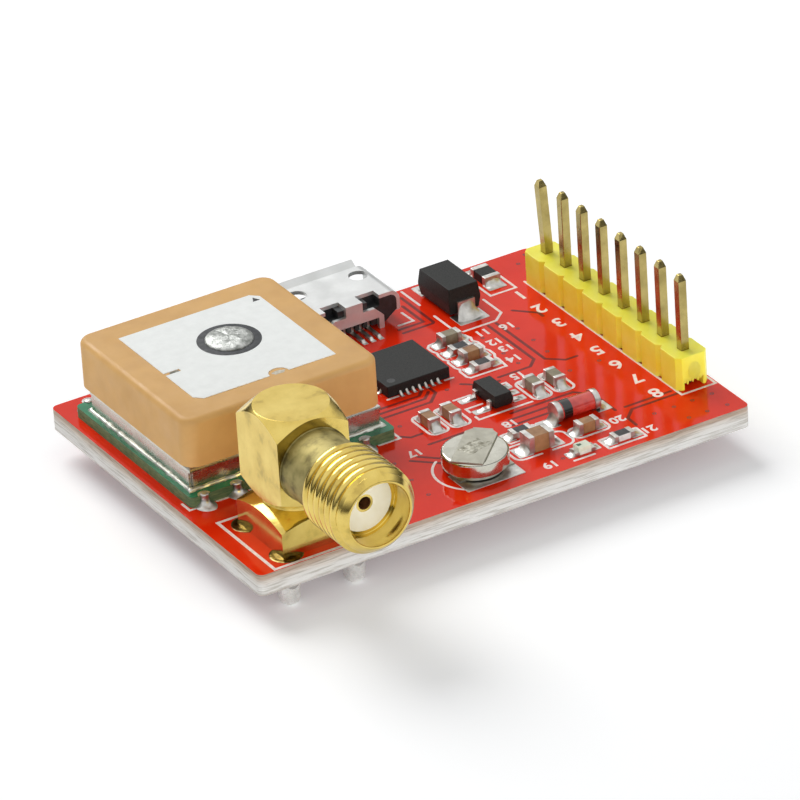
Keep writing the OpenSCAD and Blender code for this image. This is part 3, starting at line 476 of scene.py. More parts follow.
def gold_material(name, tinned=False, dull_behind=None):
    """Gold plate with a few smears, which can be tinned below the board or dull behind one plane."""
    paint = Paint(name)
    tone = paint.noise(0.55, 4.0)
    plate = [(0.28, (0.48, 0.35, 0.09)), (0.42, (0.70, 0.52, 0.135)), (0.70, (0.80, 0.62, 0.185))]
    colour = paint.ramp(tone, plate)
    gloss = paint.spread(paint.noise(0.85), 0.10, 0.20)
    if tinned:
        under = paint.math("LESS_THAN", paint.axis(paint.mm, "Z"), board_low.z / MM)
        coat = paint.ramp(tone, [(0.32, (0.60, 0.60, 0.57)), (0.68, (0.86, 0.86, 0.83))])
        colour = paint.mix(under, colour, coat, data_type="RGBA")
    if dull_behind is not None:
        behind = paint.math("GREATER_THAN", paint.axis(paint.mm, "Y"), dull_behind)
        stain = paint.noise(0.9, 5.0)
        stained = [(0.36, (0.15, 0.125, 0.05)), (0.50, (0.30, 0.255, 0.10)), (0.68, (0.41, 0.35, 0.15))]
        colour = paint.mix(behind, colour, paint.ramp(stain, stained), data_type="RGBA")
        gloss = paint.mix(behind, gloss, paint.spread(stain, 0.5, 0.66), data_type="FLOAT")
    normal = paint.bump(paint.noise(2.2), 0.004)
    return paint.finish(paint.shader(colour, gloss, normal, Metallic=1.0))


# Seat of the jack's barrel and its thread: pitch, radii, breadth of its crests and reach
BARREL = Vector((JACK_X, 1.3, 6.15))
PITCH = 0.7056
ROOT_R, CREST_R = 2.775, 3.175
CREST_BREADTH = 3
THREAD_START, THREAD_END = 3.3, 8.0

RED = board_material()
TRACE = plain(
    "mask_over_gaps", (0.17, 0.012, 0.008), (0.24, 0.020, 0.012), 1.2, (0.14, 0.2), Specular_IOR_Level=0.2
)
# Near-black colour of the vias is painted shade of their holes
VIA_SHADE = plain("via_pit_shade", (0.05, 0.006, 0.004), (0.12, 0.012, 0.008), 6.0, (0.25, 0.4))
PRINT = plain("white_print", lin(232, 214, 208), lin(250, 240, 236), 3.0, (0.5, 0.65), 0.004, 12.0)
GREEN = carrier_material()
JACK = gold_material("jack_plate", tinned=True)
GOLD = gold_material("gold_plate")
BARREL_GOLD = gold_material("barrel_plate", dull_behind=CORNER.y / MM + BARREL.y - THREAD_START)
# Dark brown of the liner in the contact's socket is painted shade for the inside of the deep hole
BORE_SHADE = plain("contact_bore_shade", (0.08, 0.028, 0.010), (0.17, 0.065, 0.022), 2.0, (0.3, 0.45))
PIN_GOLD = metal("pin_plate", (0.36, 0.285, 0.10), (0.51, 0.41, 0.155), 0.9, (0.16, 0.28), 0.003, 4.0)
TIN = metal("solder_tin", (0.42, 0.41, 0.385), (0.66, 0.65, 0.62), 1.6, (0.28, 0.42), 0.02, 3.0)
FEED_TIN = metal("feed_tin", (0.20, 0.21, 0.195), (0.50, 0.51, 0.49), 2.6, (0.4, 0.55), 0.05, 4.0, 5.0)
LEG_TIN = metal("leg_coat", (0.78, 0.78, 0.75), (0.95, 0.95, 0.92), 1.2, (0.2, 0.34), 0.02, 2.5)
SEAM_TIN = metal("seam_solder", (0.46, 0.47, 0.41), (0.66, 0.66, 0.60), 1.0, (0.3, 0.45), 0.01, 2.0)
STEEL = metal(
    "shield_steel", (0.53, 0.52, 0.46), (0.64, 0.63, 0.57), 0.5, (0.22, 0.32), 0.001, 1.5, stretch=(1, 1, 3)
)
USB_STEEL = plain(
    "socket_steel", (0.62, 0.63, 0.62), (0.71, 0.72, 0.71), 0.6, (0.3, 0.4), 0.002, 3.0, Metallic=0.64
)
CELL_STEEL = metal("cell_steel", (0.52, 0.51, 0.44), (0.64, 0.63, 0.55), 1.1, (0.1, 0.18), 0.004, 3.0)
TAB_STEEL = metal("tab_steel", (0.31, 0.30, 0.25), (0.38, 0.37, 0.31), 1.4, (0.35, 0.5), 0.006, 3.0)
WELD = metal("weld_scale", (0.16, 0.15, 0.11), (0.46, 0.45, 0.38), 3.2, (0.3, 0.5), 0.02, 5.0)
CERAMIC = plain("fired_ceramic", lin(202, 155, 89), lin(213, 166, 98), 0.45, (0.42, 0.6), 0.004, 9.0, 5.0)
SILVER = plain("silver_paste", lin(233, 235, 232), lin(239, 241, 238), 1.5, (0.5, 0.65), 0.001, 14.0)
RING = plain("feed_ring", lin(34, 36, 39), lin(56, 58, 61), 2.0, (0.5, 0.7), 0.005, 10.0)
TAPE = plain("adhesive_tape", lin(30, 27, 24), lin(52, 46, 40), 2.0, (0.6, 0.8))
WHITE = plain("fluoropolymer", lin(246, 240, 216), lin(253, 249, 232), 0.9, (0.35, 0.5), 0.004, 5.0)
BLACK = plain(
    "moulded_black", lin(26, 27, 26), lin(42, 43, 41), 9.0, (0.42, 0.6), 0.006, 16.0, 5.0,
    Specular_IOR_Level=0.21,
)
INSULATOR = plain("socket_black", lin(26, 27, 28), lin(44, 45, 46), 3.0, (0.35, 0.5), 0.004, 8.0)
YELLOW = plain(
    "header_yellow", lin(248, 236, 62), lin(255, 246, 94), 0.7, (0.32, 0.45), 0.004, 5.0,
    Subsurface_Weight=0.35, Subsurface_Scale=0.0006, Subsurface_Radius=(1.0, 0.85, 0.25),
)
CAP_TAN = plain("capacitor_tan", lin(138, 98, 60), lin(164, 122, 82), 1.6, (0.35, 0.5), 0.004, 9.0)
CAP_GREY = plain("capacitor_grey", lin(116, 108, 86), lin(142, 132, 108), 1.6, (0.35, 0.5), 0.004, 9.0)
ALUMINA = plain("resistor_white", lin(206, 206, 200), lin(230, 230, 226), 2.0, (0.4, 0.55), 0.004, 9.0)
GLASS = plain(
    "diode_glass", lin(178, 34, 28), lin(214, 66, 52), 1.3, (0.06, 0.12),
    Coat_Weight=1.0, Coat_Roughness=0.04,
)
BAND = plain("cathode_band", lin(12, 12, 12), lin(30, 28, 28), 4.0, (0.12, 0.25), Coat_Weight=0.6)
LAMP = plain("lamp_white", lin(214, 220, 206), lin(236, 240, 228), 2.0, (0.25, 0.4))
LENS = plain("lamp_resin", lin(206, 214, 190), lin(232, 236, 214), 1.5, (0.12, 0.2), Coat_Weight=0.5)
DIE = plain("lamp_mark", lin(30, 70, 46), lin(58, 104, 70), 3.0, (0.3, 0.5))
# Very dark colour of the solder round the jack's legs is a painted dark reflection
DARK_LEG_SOLDER = metal("leg_solder", (0.06, 0.045, 0.015), (0.24, 0.195, 0.085), 2.2, (0.10, 0.22), 0.02, 3.0)
SCRAPE = plain("scraped_patch", lin(92, 92, 80), lin(158, 152, 134), 5.0, (0.45, 0.6), 0.01, 9.0)
SCAR = plain("silver_remains", lin(176, 166, 142), lin(214, 208, 194), 6.0, (0.5, 0.65), 0.006, 9.0)
MARK = plain("printed_mark", lin(28, 28, 30), lin(48, 48, 50), 4.0, (0.5, 0.65))


# Carried-over solids
def dress(names, material, bevel=0.0, segments=2, limit=40):
    for name in [names] if isinstance(names, str) else names:
        solid = NODES[name]
        solid.data.materials.clear()
        solid.data.materials.append(material)
        if bevel:
            weld = solid.modifiers.new("weld", "WELD")
            weld.merge_threshold = 1e-6
            edge = solid.modifiers.new("bevel", "BEVEL")
            edge.width = bevel * MM
            edge.segments = segments
            edge.limit_method = "ANGLE"
            edge.angle_limit = math.radians(limit)
            edge.harden_normals = True


dress("main_board", RED)
dress("receiver_carrier", GREEN)
dress("receiver_chip", BLACK, 0.05)
dress("receiver_crystal", STEEL, 0.05)
dress("shield_can", STEEL)
dress("antenna_tape", TAPE)
dress("antenna_ceramic", CERAMIC, 0.3, 4, 60)
dress("antenna_electrode", SILVER)
dress("antenna_feed_pin", TIN)
dress("receiver_solder", TIN)
dress("jack_body", JACK, 0.07, 3)
dress("jack_barrel", BARREL_GOLD)
dress(["jack_front_insulator", "jack_rear_insulator"], WHITE)
dress("jack_contact", GOLD, 0.03)
dress("jack_tail_pin", JACK, 0.03)
dress("jack_solder", TIN)
dress("usb_shell", USB_STEEL)
dress("usb_insulator", INSULATOR, 0.03)
dress("usb_contacts", TIN)
dress("interface_chip", BLACK, 0.05)
dress("interface_chip_terminals", TIN)
dress("header_housing", YELLOW, 0.06)
dress("header_pin_1", PIN_GOLD)
dress([f"header_pin_{i}" for i in range(2, 9)], PIN_GOLD, 0.04)
dress("header_solder", TIN)
dress(["cell_can", "cell_cap"], CELL_STEEL)
dress(["cell_upper_tab", "cell_lower_tab"], TAB_STEEL, 0.025)
dress("power_diode", BLACK, 0.06)
dress("power_diode_leads", TIN, 0.02)
dress("regulator", BLACK, 0.04)
dress("regulator_leads", TIN, 0.02)
dress("signal_diode_glass", GLASS)
dress("signal_diode_caps", TIN, 0.03)
dress("lamp_base", LAMP, 0.02)
dress("lamp_lens", LENS, 0.04)
dress("lamp_terminals", TIN, 0.02)
dress("fuse", BLACK, 0.03)
dress([f"capacitor_{i}" for i in (1, 3, 4, 7, 8)], CAP_TAN, 0.03)
dress([f"capacitor_{i}" for i in (2, 5, 6)], CAP_GREY, 0.03)
dress([f"resistor_{i}" for i in range(1, 5)], ALUMINA, 0.02)
dress("chip_terminals", TIN, 0.035)


# Threaded barrel of the antenna jack, from pairs of a radius and a place along its axis
NECK_R = 2.65
BARREL_BACK = [
    (2.05, -0.6), (2.3, -0.6), (2.3, 0.0), (2.70, 0.0), (2.73, 0.03), (2.73, 0.12), (2.70, 0.15),
    (NECK_R, 0.16),
]
BARREL_FRONT = [
    (2.86, 8.04), (2.85, 8.09), (2.82, 8.14), (2.50, 8.45), (2.46, 8.485), (2.42, 8.5), (2.36, 8.5),
    (2.32, 8.49), (2.30, 8.45), (2.30, 6.53), (2.27, 6.5), (2.05, 6.5),
]


def barrel_seat(u, v, h):
    return (BARREL.x + u, BARREL.y - h, BARREL.z + v)


def thread_radius(turn, h):
    """Radius of the thread at a part of a turn, with a run-in at both ends."""
    away = abs((h / PITCH - turn) % 1.0 - 0.5) * 2
    depth = CREST_R - ROOT_R
    run_in = min(1.0, (h - THREAD_START) / depth, (THREAD_END - h) / depth)
    return ROOT_R + depth * max(0.0, min(run_in, 1 - (1 - away) ** CREST_BREADTH))


def jack_barrel():
    steps, rows, neck_rows = 144, 150, 9
    turn = circle(steps)

    def plain_rings(profile):
        return [[barrel_seat(r * u, r * v, h) for u, v in turn] for r, h in profile]

    start = BARREL_BACK[-1][1]
    neck = [(NECK_R, start + (THREAD_START - start) * i / neck_rows) for i in range(1, neck_rows + 1)]
    rings = plain_rings(BARREL_BACK + neck)
    for row in range(rows + 1):
        h = THREAD_START + (THREAD_END - THREAD_START) * row / rows
        radii = [thread_radius(i / steps, h) for i in range(steps)]
        rings.append([barrel_seat(r * u, r * v, h) for r, (u, v) in zip(radii, turn)])
    rings += plain_rings(BARREL_FRONT)
    shape = Shape()
    loft(shape, rings, wrap=True)
    build("jack_threaded_barrel", shape, BARREL_GOLD, ["jack_barrel"], 30)


jack_barrel()
# A dark liner inside the contact's socket: painted shade for the inside of the deep hole
socket = Shape()
SOCKET = [(0.464, 4.03), (0.464, 6.42), (0.44, 6.42), (0.43, 6.36), (0.42, 4.10), (0.2, 4.06)]
revolve(socket, SOCKET, 32, barrel_seat)
build("contact_bore_shade", socket, BORE_SHADE)

# White print
PRINT_LOW, PRINT_HIGH = -SINK, 0.014
LINE, JACK_LINE = 0.19, 0.24
print_shape = Shape()


def line(*path, width=LINE, closed=False):
    ribbon(print_shape, path, width, PRINT_LOW, PRINT_HIGH, closed)


line(*arc(19.2, 3.85, 2.92, 125, 232))
for x in (19.93, 21.7):
    line(*round_rect(x - 0.75, 9.45, x + 0.75, 12.5, 0.5), closed=True)
for x0, x1 in ((27.53, 29.02), (29.33, 30.85)):
    line(*round_rect(x0, 9.45, x1, 12.45, 0.5), closed=True)
line((22.95, 12.86), (24.3, 12.86))
line((23.0, 10.75), (23.0, 11.3), (24.3, 11.3))
line((22.98, 10.0), (22.98, 9.5), (27.25, 9.5))
line((27.2, 12.2), (27.2, 12.9), (26.6, 12.9))
line(*round_rect(22.9, 5.3, 25.6, 6.68, 0.12), closed=True)
line(
    (23.95, 2.87), *arc(22.65, 3.45, 0.58, 270, 180, 6), *arc(22.65, 4.35, 0.58, 180, 90, 6), (26.1, 4.93)
)
line((24.85, 2.87), *arc(26.15, 3.45, 0.58, -90, 0, 6), *arc(26.15, 4.35, 0.58, 0, 90, 6))
line(*round_rect(26.95, 3.1, 29.75, 4.62, 0.5), closed=True)
line((25.2, 0.68), (26.8, 0.68))
line(*round_rect(28.0, 0.68, 31.0, 2.08, 0.05), closed=True)
line((38.82, 5.3), (38.82, 4.1), (36.05, 4.1), (36.05, 24.75))
line(
    (25.62, 14.94), (25.46, 15.2), (25.46, 16.1), (25.62, 16.45), (25.46, 16.75), (25.46, 17.7),
    (25.62, 18.0), (25.44, 18.3), (25.44, 18.95), (25.56, 19.4), (25.42, 19.8), (25.42, 20.4),
    (25.7, 20.72), (26.27, 20.77), (28.1, 20.8), (28.5, 20.5), (28.66, 19.95), (28.5, 19.5),
    (28.72, 19.1), (28.72, 18.3), (28.55, 18.0), (28.74, 17.6), (28.74, 16.9), (28.54, 16.5),
    (28.6, 16.1), (28.5, 14.92), closed=True,
)
line((28.25, 24.2), (28.25, 21.6))
line((28.7, 21.0), (31.4, 21.0), (32.3, 21.8), (32.3, 24.2))
line((28.25, 26.2), (28.25, 28.7))
line((33.0, 26.0), (33.0, 24.35), (35.1, 24.35), (35.1, 26.5))
line((25.5, 24.5), (26.7, 24.5), (26.65, 26.0))
line((19.35, 15.72), (20.2, 15.72))
line((24.0, 15.72), (24.65, 15.72))
line((6.9, 0.2), (1.32, 0.2), (1.32, 7.92), (3.9, 7.92), width=JACK_LINE)
line((0.66, 11.6), (0.66, 10.54), (1.2, 10.54))
for i in range(5):
    line((2.8 + GRID * i, 10.54), (3.75 + GRID * i, 10.54))
line((15.6, 10.54), (17.24, 10.54), (17.24, 11.6))


# Sizes of the numerals, what is added to their strokes, and the place of the first one by the pins
PIN_DIGIT, PART_DIGIT = 1.75, 1.15
STROKE = 0.035
DIGIT_X, DIGIT_Y = 34.75, 23.25


def numeral(digit, x, y, size):
    curve = bpy.data.curves.new("numeral", "FONT")
    curve.body = str(digit)
    curve.size = size
    curve.offset = STROKE
    curve.extrude = (PRINT_HIGH - PRINT_LOW) / 2
    curve.align_x = "CENTER"
    curve.align_y = "CENTER"
    curve.resolution_u = 4
    holder = bpy.data.objects.new("numeral", curve)
    bpy.context.scene.collection.objects.link(holder)
    bpy.context.view_layer.update()
    mesh = bpy.data.meshes.new_from_object(holder.evaluated_get(bpy.context.evaluated_depsgraph_get()))
    middle = (PRINT_HIGH + PRINT_LOW) / 2
    points = [(x - v.co.x, y - v.co.y, middle + v.co.z) for v in mesh.vertices]
    print_shape.add(points, [list(face.vertices) for face in mesh.polygons])
    bpy.data.objects.remove(holder)
    bpy.data.curves.remove(curve)
    bpy.data.meshes.remove(mesh)


for i in range(8):
    numeral(i + 1, DIGIT_X, DIGIT_Y - GRID * i, PIN_DIGIT)
PART_PLACES = [
    (29.7, 20.1), (29.7, 18.45), (29.85, 17.2), (29.5, 15.6), (28.4, 13.3), (31.6, 19.9), (17.0, 8.2),
    (24.4, 7.8), (23.6, 1.25), (30.6, 3.85), (31.6, 1.4),
]
for i, (x, y) in enumerate(PART_PLACES):
    numeral(i + 11, x, y, PART_DIGIT)
build("board_print", print_shape, PRINT)

# Gaps in the copper, seen as darker lines through the mask
GAP = 0.24
gaps = Shape()


def gap(*path):
    ribbon(gaps, path, GAP, -SINK, 0.004)


gap((30.55, 20.7), (30.55, 14.6), (29.8, 13.85), (27.2, 13.85))
gap((31.2, 20.7), (31.2, 14.2), (32.3, 13.2), (33.2, 13.2))
gap((17.6, 13.65), (21.6, 13.65), (22.55, 14.6), (22.55, 15.5))
gap((17.6, 14.9), (21.4, 14.9), (21.9, 15.4))
gap((17.6, 14.3), (21.5, 14.3), (22.2, 15.0))
gap((25.2, 8.95), (30.2, 8.95), (31.2, 7.9), (31.2, 5.0))
gap((24.6, 8.2), (27.8, 8.2))
gap((24.4, 7.45), (27.6, 7.45))
gap((17.3, 10.8), (17.9, 10.2), (18.8, 10.2))
gap((16.9, 7.6), (18.3, 6.2))
gap((16.2, 7.4), (17.7, 5.9))
gap((36.0, 4.45), (32.2, 4.45), (31.3, 3.55), (31.25, 2.4))
gap((35.7, 5.0), (32.0, 5.0))
gap((25.2, 23.95), (27.2, 23.95), (27.2, 26.8))
gap((25.2, 23.35), (27.6, 23.35), (27.75, 23.5), (27.75, 28.0))
gap((24.6, 14.6), (26.0, 13.4), (27.0, 13.4))
gap((18.4, 8.6), (21.8, 8.6), (22.5, 7.9))
gap((33.1, 21.6), (34.4, 20.2), (34.4, 19.6))
build("mask_gaps", gaps, TRACE)

# Plated holes between the board's faces, as shallow dishes whose dark colour is painted shade of the holes
VIA_PROFILE = [(0.16, -SINK), (0.15, 0.004), (0.11, 0.006), (0.08, 0.002), (0.04, -0.004)]
VIA_PLACES = [
    (18.1, 12.0), (31.7, 11.7), (34.1, 11.7), (33.1, 3.0), (34.7, 3.0), (36.2, 3.0), (37.8, 3.0), (34.7, 1.1),
    (36.2, 1.1), (37.8, 1.05), (24.75, 1.45), (29.3, 19.4), (32.0, 19.1), (32.0, 17.0), (29.3, 16.6),
    (29.4, 14.8), (31.9, 15.0), (37.1, 27.3), (38.2, 28.2), (23.4, 14.5), (14.9, 5.1), (14.8, 2.7),
    (15.1, 7.75), (36.25, 22.3), (36.25, 19.8), (36.25, 17.2), (36.25, 14.6), (36.25, 12.1), (36.25, 9.6),
    (36.25, 6.9),
]
vias = Shape()
for x, y in VIA_PLACES:
    revolve(vias, VIA_PROFILE, 14, upright(x, y))
    revolve(vias, [(r, -h) for r, h in VIA_PROFILE], 14, upright(x, y, -BOARD_T))
build("vias", vias, VIA_SHADE)

# Solder pads and fillets
# Length of a small part's end terminal, how far its pad goes under it and beside it, and the pad's length and
# the fillet's width as parts of the fillet's reach and the part's width
TERMINAL, TUCK, ROOM = 0.32, 0.2, 0.1
PAD_PART, JOINT_PART = 1.15, 0.96
pads = Shape()
joints = Shape()


def pad(x0, y0, x1, y1, r=0.08, high=0.03):
    slab(pads, round_rect(x0, y0, x1, y1, r, 3), -SINK, high, 0.015)


def chip_joints(name, along_y, height, reach=0.55):
    low, high = node_box(name)
    middle = (low + high) / 2
    along, across = (1, 0) if along_y else (0, 1)
    width = high[across] - low[across]
    side_0, side_1 = middle[across] - width / 2 - ROOM, middle[across] + width / 2 + ROOM
    for face, sign in ((low[along], -1), (high[along], 1)):
        end = face + sign * TERMINAL
        end_0, end_1 = sorted((end - sign * TUCK, end + sign * reach * PAD_PART))
        if along_y:
            pad(side_0, end_0, side_1, end_1)
            fillet(joints, middle.x, end, 90 * sign, width * JOINT_PART, height, reach)
        else:
            pad(end_0, side_0, end_1, side_1)
            fillet(joints, end, middle.y, 90 - 90 * sign, width * JOINT_PART, height, reach)


for name, height in (
    ("resistor_1", 0.34), ("capacitor_1", 0.5), ("resistor_2", 0.34), ("capacitor_2", 0.5),
    ("resistor_3", 0.34), ("resistor_4", 0.34), ("capacitor_7", 0.5),
):
    chip_joints(name, False, height)
chip_joints("capacitor_8", False, 0.6, 0.8)
for i in (3, 4, 5, 6):
    chip_joints(f"capacitor_{i}", True, 0.55, 0.6)
chip_joints("fuse", True, 0.5, 0.75)

pad(17.1, 1.3, 21.7, 4.0, 0.06, 0.045)
for y in (10.45, 12.35):
    pad(23.1, y - 0.33, 24.35, y + 0.33)
    fillet(joints, 23.9, y, 180, 0.42, 0.12, 0.5, 0.4)
for y in (10.45, 11.4, 12.35):
    pad(26.2, y - 0.33, 27.25, y + 0.33)
    fillet(joints, 26.6, y, 0, 0.42, 0.12, 0.45, 0.4)
for x0, x1, x, turn in ((25.7, 27.1, 26.88, 180), (30.1, 31.25, 30.32, 0)):
    pad(x0, 5.4, x1, 6.75)
    fillet(joints, x, 6.1, turn, 1.1, 0.7, 0.7, 0.15)
pad(29.0, 21.8, 31.4, 23.4)
fillet(joints, 30.2, 22.97, -90, 1.35, 1.05, 0.95, 0.7, sag=2.0)
pad(29.0, 27.2, 31.4, 28.7)
fillet(joints, 30.2, 27.63, 90, 1.35, 1.05, 0.85, 0.5, sag=2.0)
for x0, x1, x, turn in ((25.05, 25.85, 25.57, 180), (26.85, 27.65, 27.13, 0)):
    pad(x0, 1.1, x1, 1.9)
    fillet(joints, x, 1.5, turn, 0.7, 0.3, 0.42)
for i in range(5):
    x = 22.27 + (i - 2) * 0.65
    pad(x - 0.19, 23.5, x + 0.19, 24.6, 0.05)
    fillet(joints, x, 23.95, -90, 0.3, 0.13, 0.3, 0.2)

# Terminals on each side of the interface chip, their pitch, and half the width and the length of a pad
CHIP_SIDE, CHIP_PITCH = 7, 0.5
PAD_HALF, PAD_LENGTH = 0.13, 0.42
low, high = node_box("interface_chip")
middle = (low + high) / 2
for i in range(CHIP_SIDE):
    shift = (i - CHIP_SIDE // 2) * CHIP_PITCH
    for x, y, turn in (
        (middle.x + shift, low.y, -90),
        (middle.x + shift, high.y, 90),
        (low.x, middle.y + shift, 180),
        (high.x, middle.y + shift, 0),
    ):
        out, side = heading(turn)
        corners = ((0, -PAD_HALF), (PAD_LENGTH, -PAD_HALF), (PAD_LENGTH, PAD_HALF), (0, PAD_HALF))
        outline = [Vector((x, y)) + out * a + side * b for a, b in corners]
        slab(pads, outline, -SINK, 0.025, 0.01)
        fillet(joints, x, y, turn, 0.24, 0.24, 0.34, 0.1)
build("pads", pads, TIN)
build("solder_fillets", joints, TIN, angle=60)

# Castellation joints of the receiver, from pairs of a height and a radius
BLOB = [
    (-SINK, 0.78), (0.0, 0.77), (0.06, 0.72), (0.12, 0.63), (0.20, 0.50), (0.30, 0.39), (0.42, 0.315),
    (0.56, 0.285), (0.70, 0.285), (0.80, 0.31), (0.86, 0.30), (0.90, 0.24), (0.92, 0.12),
]
# How much and how high a joint's foot spreads, how deep it goes under the carrier, and its land's radius
FOOT_SPREAD, FOOT_HEIGHT, UNDERCUT, LAND_R = 0.34, 0.34, 0.34, 0.46
CASTELLATIONS, FIRST_CASTELLATION = 6, 1.05
carrier_low, carrier_high = node_box("receiver_carrier")
blobs = Shape()


def blob(x, y, outward, seed):
    rings = []
    for h, r in BLOB:
        ring = []
        stretch = 1 + FOOT_SPREAD * max(0.0, 1 - h / FOOT_HEIGHT)
        for u, v in circle(28):
            size = r * (1 + 0.10 * noise.noise(Vector((u, v, h * 1.5 + seed))))
            reach = size * stretch * v if v > 0 else min(size, UNDERCUT) * v
            ring.append((x + size * u, y + outward * (reach + 0.03), h))
        rings.append(ring)
    loft(blobs, rings)
    half_turn = arc(0, 0, 1, 0, 180 * -outward, 12)
    land = [(x + LAND_R * u, y - outward * (LAND_R * v - 0.005)) for u, v in half_turn]
    slab(blobs, land if outward > 0 else land[::-1], carrier_high.z - SINK, carrier_high.z + 0.02)


for i in range(CASTELLATIONS):
    x = carrier_low.x + FIRST_CASTELLATION + GRID * i
    blob(x, carrier_low.y, -1, i)
    blob(x, carrier_high.y, 1, i + 20)
build("castellation_joints", blobs, TIN, ["receiver_solder"], 70)

# Solder seam round the foot of the can
can_low, can_high = node_box("shield_can")
seam = Shape()
foot = [(can_low.x, can_low.y), (can_high.x, can_low.y), (can_high.x, can_high.y), (can_low.x, can_high.y)]
bead(seam, foot, 0.40, 0.20, can_low.z, 0.55)
build("can_seam", seam, SEAM_TIN, angle=60)

# Ring and solder at the antenna's feed
RING_IN, RING_OUT = 1.55, 2.26
DOME_R, DOME_H = 1.71, 0.33
pin_low, pin_high = node_box("antenna_feed_pin")
feed = ((pin_low.x + pin_high.x) / 2, (pin_low.y + pin_high.y) / 2)
electrode_low, electrode_high = node_box("antenna_electrode")
ceramic_top, top = electrode_low.z, electrode_high.z
ring = Shape()
profile = [
    (RING_IN, top - 0.06), (RING_OUT, top - 0.06), (RING_OUT, top + 0.006), (RING_OUT - 0.02, top + 0.012),
    (RING_IN, top + 0.012),
]
revolve(ring, profile, 48, upright(*feed))
build("feed_ring", ring, RING)


def feed_dome(rows=12):
    rings = []
    for row in range(rows + 1):
        part = row / rows * math.pi / 2
        radius = DOME_R * math.cos(part) ** 0.62
        height = DOME_H * math.sin(part) ** 0.8
        points = []
        for c, s in circle(48):
            u, v = radius * c, radius * s
            coarse = noise.noise(Vector((u * 1.6, v * 1.6, 3.0))) * 0.09
            rough = coarse + noise.noise(Vector((u * 4, v * 4, 9.0))) * 0.05
            points.append((feed[0] + u, feed[1] + v, top + height * (1 + rough * 2.2)))
        rings.append(points)
    shape = Shape()
    loft(shape, [[(x, y, top - 0.03) for x, y, _ in rings[0]]] + rings)
    build("feed_solder", shape, FEED_TIN, angle=75)


feed_dome()
mark = Shape()
slab(mark, [(13.25, 22.9), (13.8, 22.9), (13.52, 23.45)], top - SINK, top + 0.006)
build("corner_mark", mark, MARK)
scrape = Shape()
slab(scrape, round_rect(3.55, 17.33, 4.27, 17.6, 0.12, 4), ceramic_top - SINK, ceramic_top + 0.02, 0.008)
build("tuning_scrapes", scrape, SCRAPE)
scar = Shape()
outline = []
for u, v in arc(0, 0, 1, 0, 345, 23):
    ragged = 1 + 0.5 * noise.noise(Vector((u * 1.8, v * 1.8, 4.0)))
    outline.append((9.6 + 0.5 * ragged * u, 13.2 + 0.26 * ragged * v))
slab(scar, outline, ceramic_top - SINK, ceramic_top + 0.008, 0.004)
build("tuning_scar", scar, SCAR)

# Solder that shows round the jack's legs, and their coat below the board; the solder's very dark colour is a
# painted dark reflection
LEGS = [(x, y) for x in (-GRID, GRID) for y in (-GRID, GRID)]
LEG_POOL = [(1.2, -SINK), (1.17, 0.015), (1.05, 0.03), (0.9, 0.02), (0.75, 0.03), (0.5, 0.09)]
SHEATH = [
    (-1.58, 0.95), (-1.7, 0.88), (-1.9, 0.79), (-2.3, 0.75), (-2.9, 0.745), (-3.3, 0.72), (-3.52, 0.64),
    (-3.64, 0.5), (-3.69, 0.3),
]
SQUARENESS = 0.75


def sheath(shape, x, y):
    """A coat whose outline lies between round and square, from pairs of a height and a half width."""
    rings = []
    for h, half in SHEATH:
        points = []
        for pair in circle(32):
            u, v = (math.copysign(abs(c) ** SQUARENESS, c) for c in pair)
            size = half * (1 + 0.05 * noise.noise(Vector((x + u, y + v, h * 1.4))))
            points.append((JACK_X + x + size * u, JACK_Y + y + size * v, h))
        rings.append(points)
    loft(shape, rings)


legs = Shape()
sheaths = Shape()
for x, y in LEGS:
    revolve(legs, LEG_POOL, 32, upright(JACK_X + x, JACK_Y + y))
    sheath(sheaths, x, y)
build("leg_solder", legs, DARK_LEG_SOLDER, angle=60)
build("leg_sheaths", sheaths, LEG_TIN, angle=60)

# Broken end of the header's housing: a row of teeth under a rough scar
TEETH = (0.16, 0.30, 0.12, 0.22, 0.08, 0.26, 0.14)
TOOTH_PITCH, TOOTH_ROOT, TOOTH_TOP = 0.21, 0.74, 0.7
SCAR_RINGS = ((1.0, 0.02), (0.97, -0.004), (0.85, -0.012), (0.6, -0.014), (0.3, -0.012), (0.08, -0.01))
SCAR_HALF, SCAR_UP, SCAR_DOWN, SCAR_Z = 0.52, 0.72, 0.6, 1.3


def housing_break():
    low, high = node_box("header_housing")
    middle_x = (low.x + high.x) / 2
    shape = Shape()
    for i, drop in enumerate(TEETH):
        x = middle_x - 0.72 + TOOTH_PITCH * i
        tip = TOOTH_TOP - drop
        points = [(x - 0.13, TOOTH_ROOT), (x - 0.02, tip), (x + 0.03, tip), (x + 0.13, TOOTH_ROOT)]
        loft(shape, [[(u, low.y + depth, h) for u, h in points] for depth in (-0.012, 0.08, 0.2)])
    rings = []
    for scale, depth in SCAR_RINGS:
        points = []
        for u, v in circle(32):
            rough = 0.008 * noise.noise(Vector((u * scale * 2.4, v * scale * 2.4, 7.0)))
            x = middle_x + 0.05 + SCAR_HALF * u * scale
            y = low.y + depth + (rough if depth < 0 else 0.0)
            points.append((x, y, SCAR_Z + (SCAR_UP if v > 0 else SCAR_DOWN) * v * scale))
        rings.append(points)
    loft(shape, rings)
    build("housing_break", shape, YELLOW, angle=50)


housing_break()

# Resistor glaze, cathode band and other small marks
glaze = Shape()
for i in range(1, 5):
    low, high = node_box(f"resistor_{i}")
    outline = round_rect(low.x + 0.02, low.y + 0.03, high.x - 0.02, high.y - 0.03, 0.03, 2)
    slab(glaze, outline, high.z - SINK, high.z + 0.018, 0.008)
build("resistor_glaze", glaze, MARK)

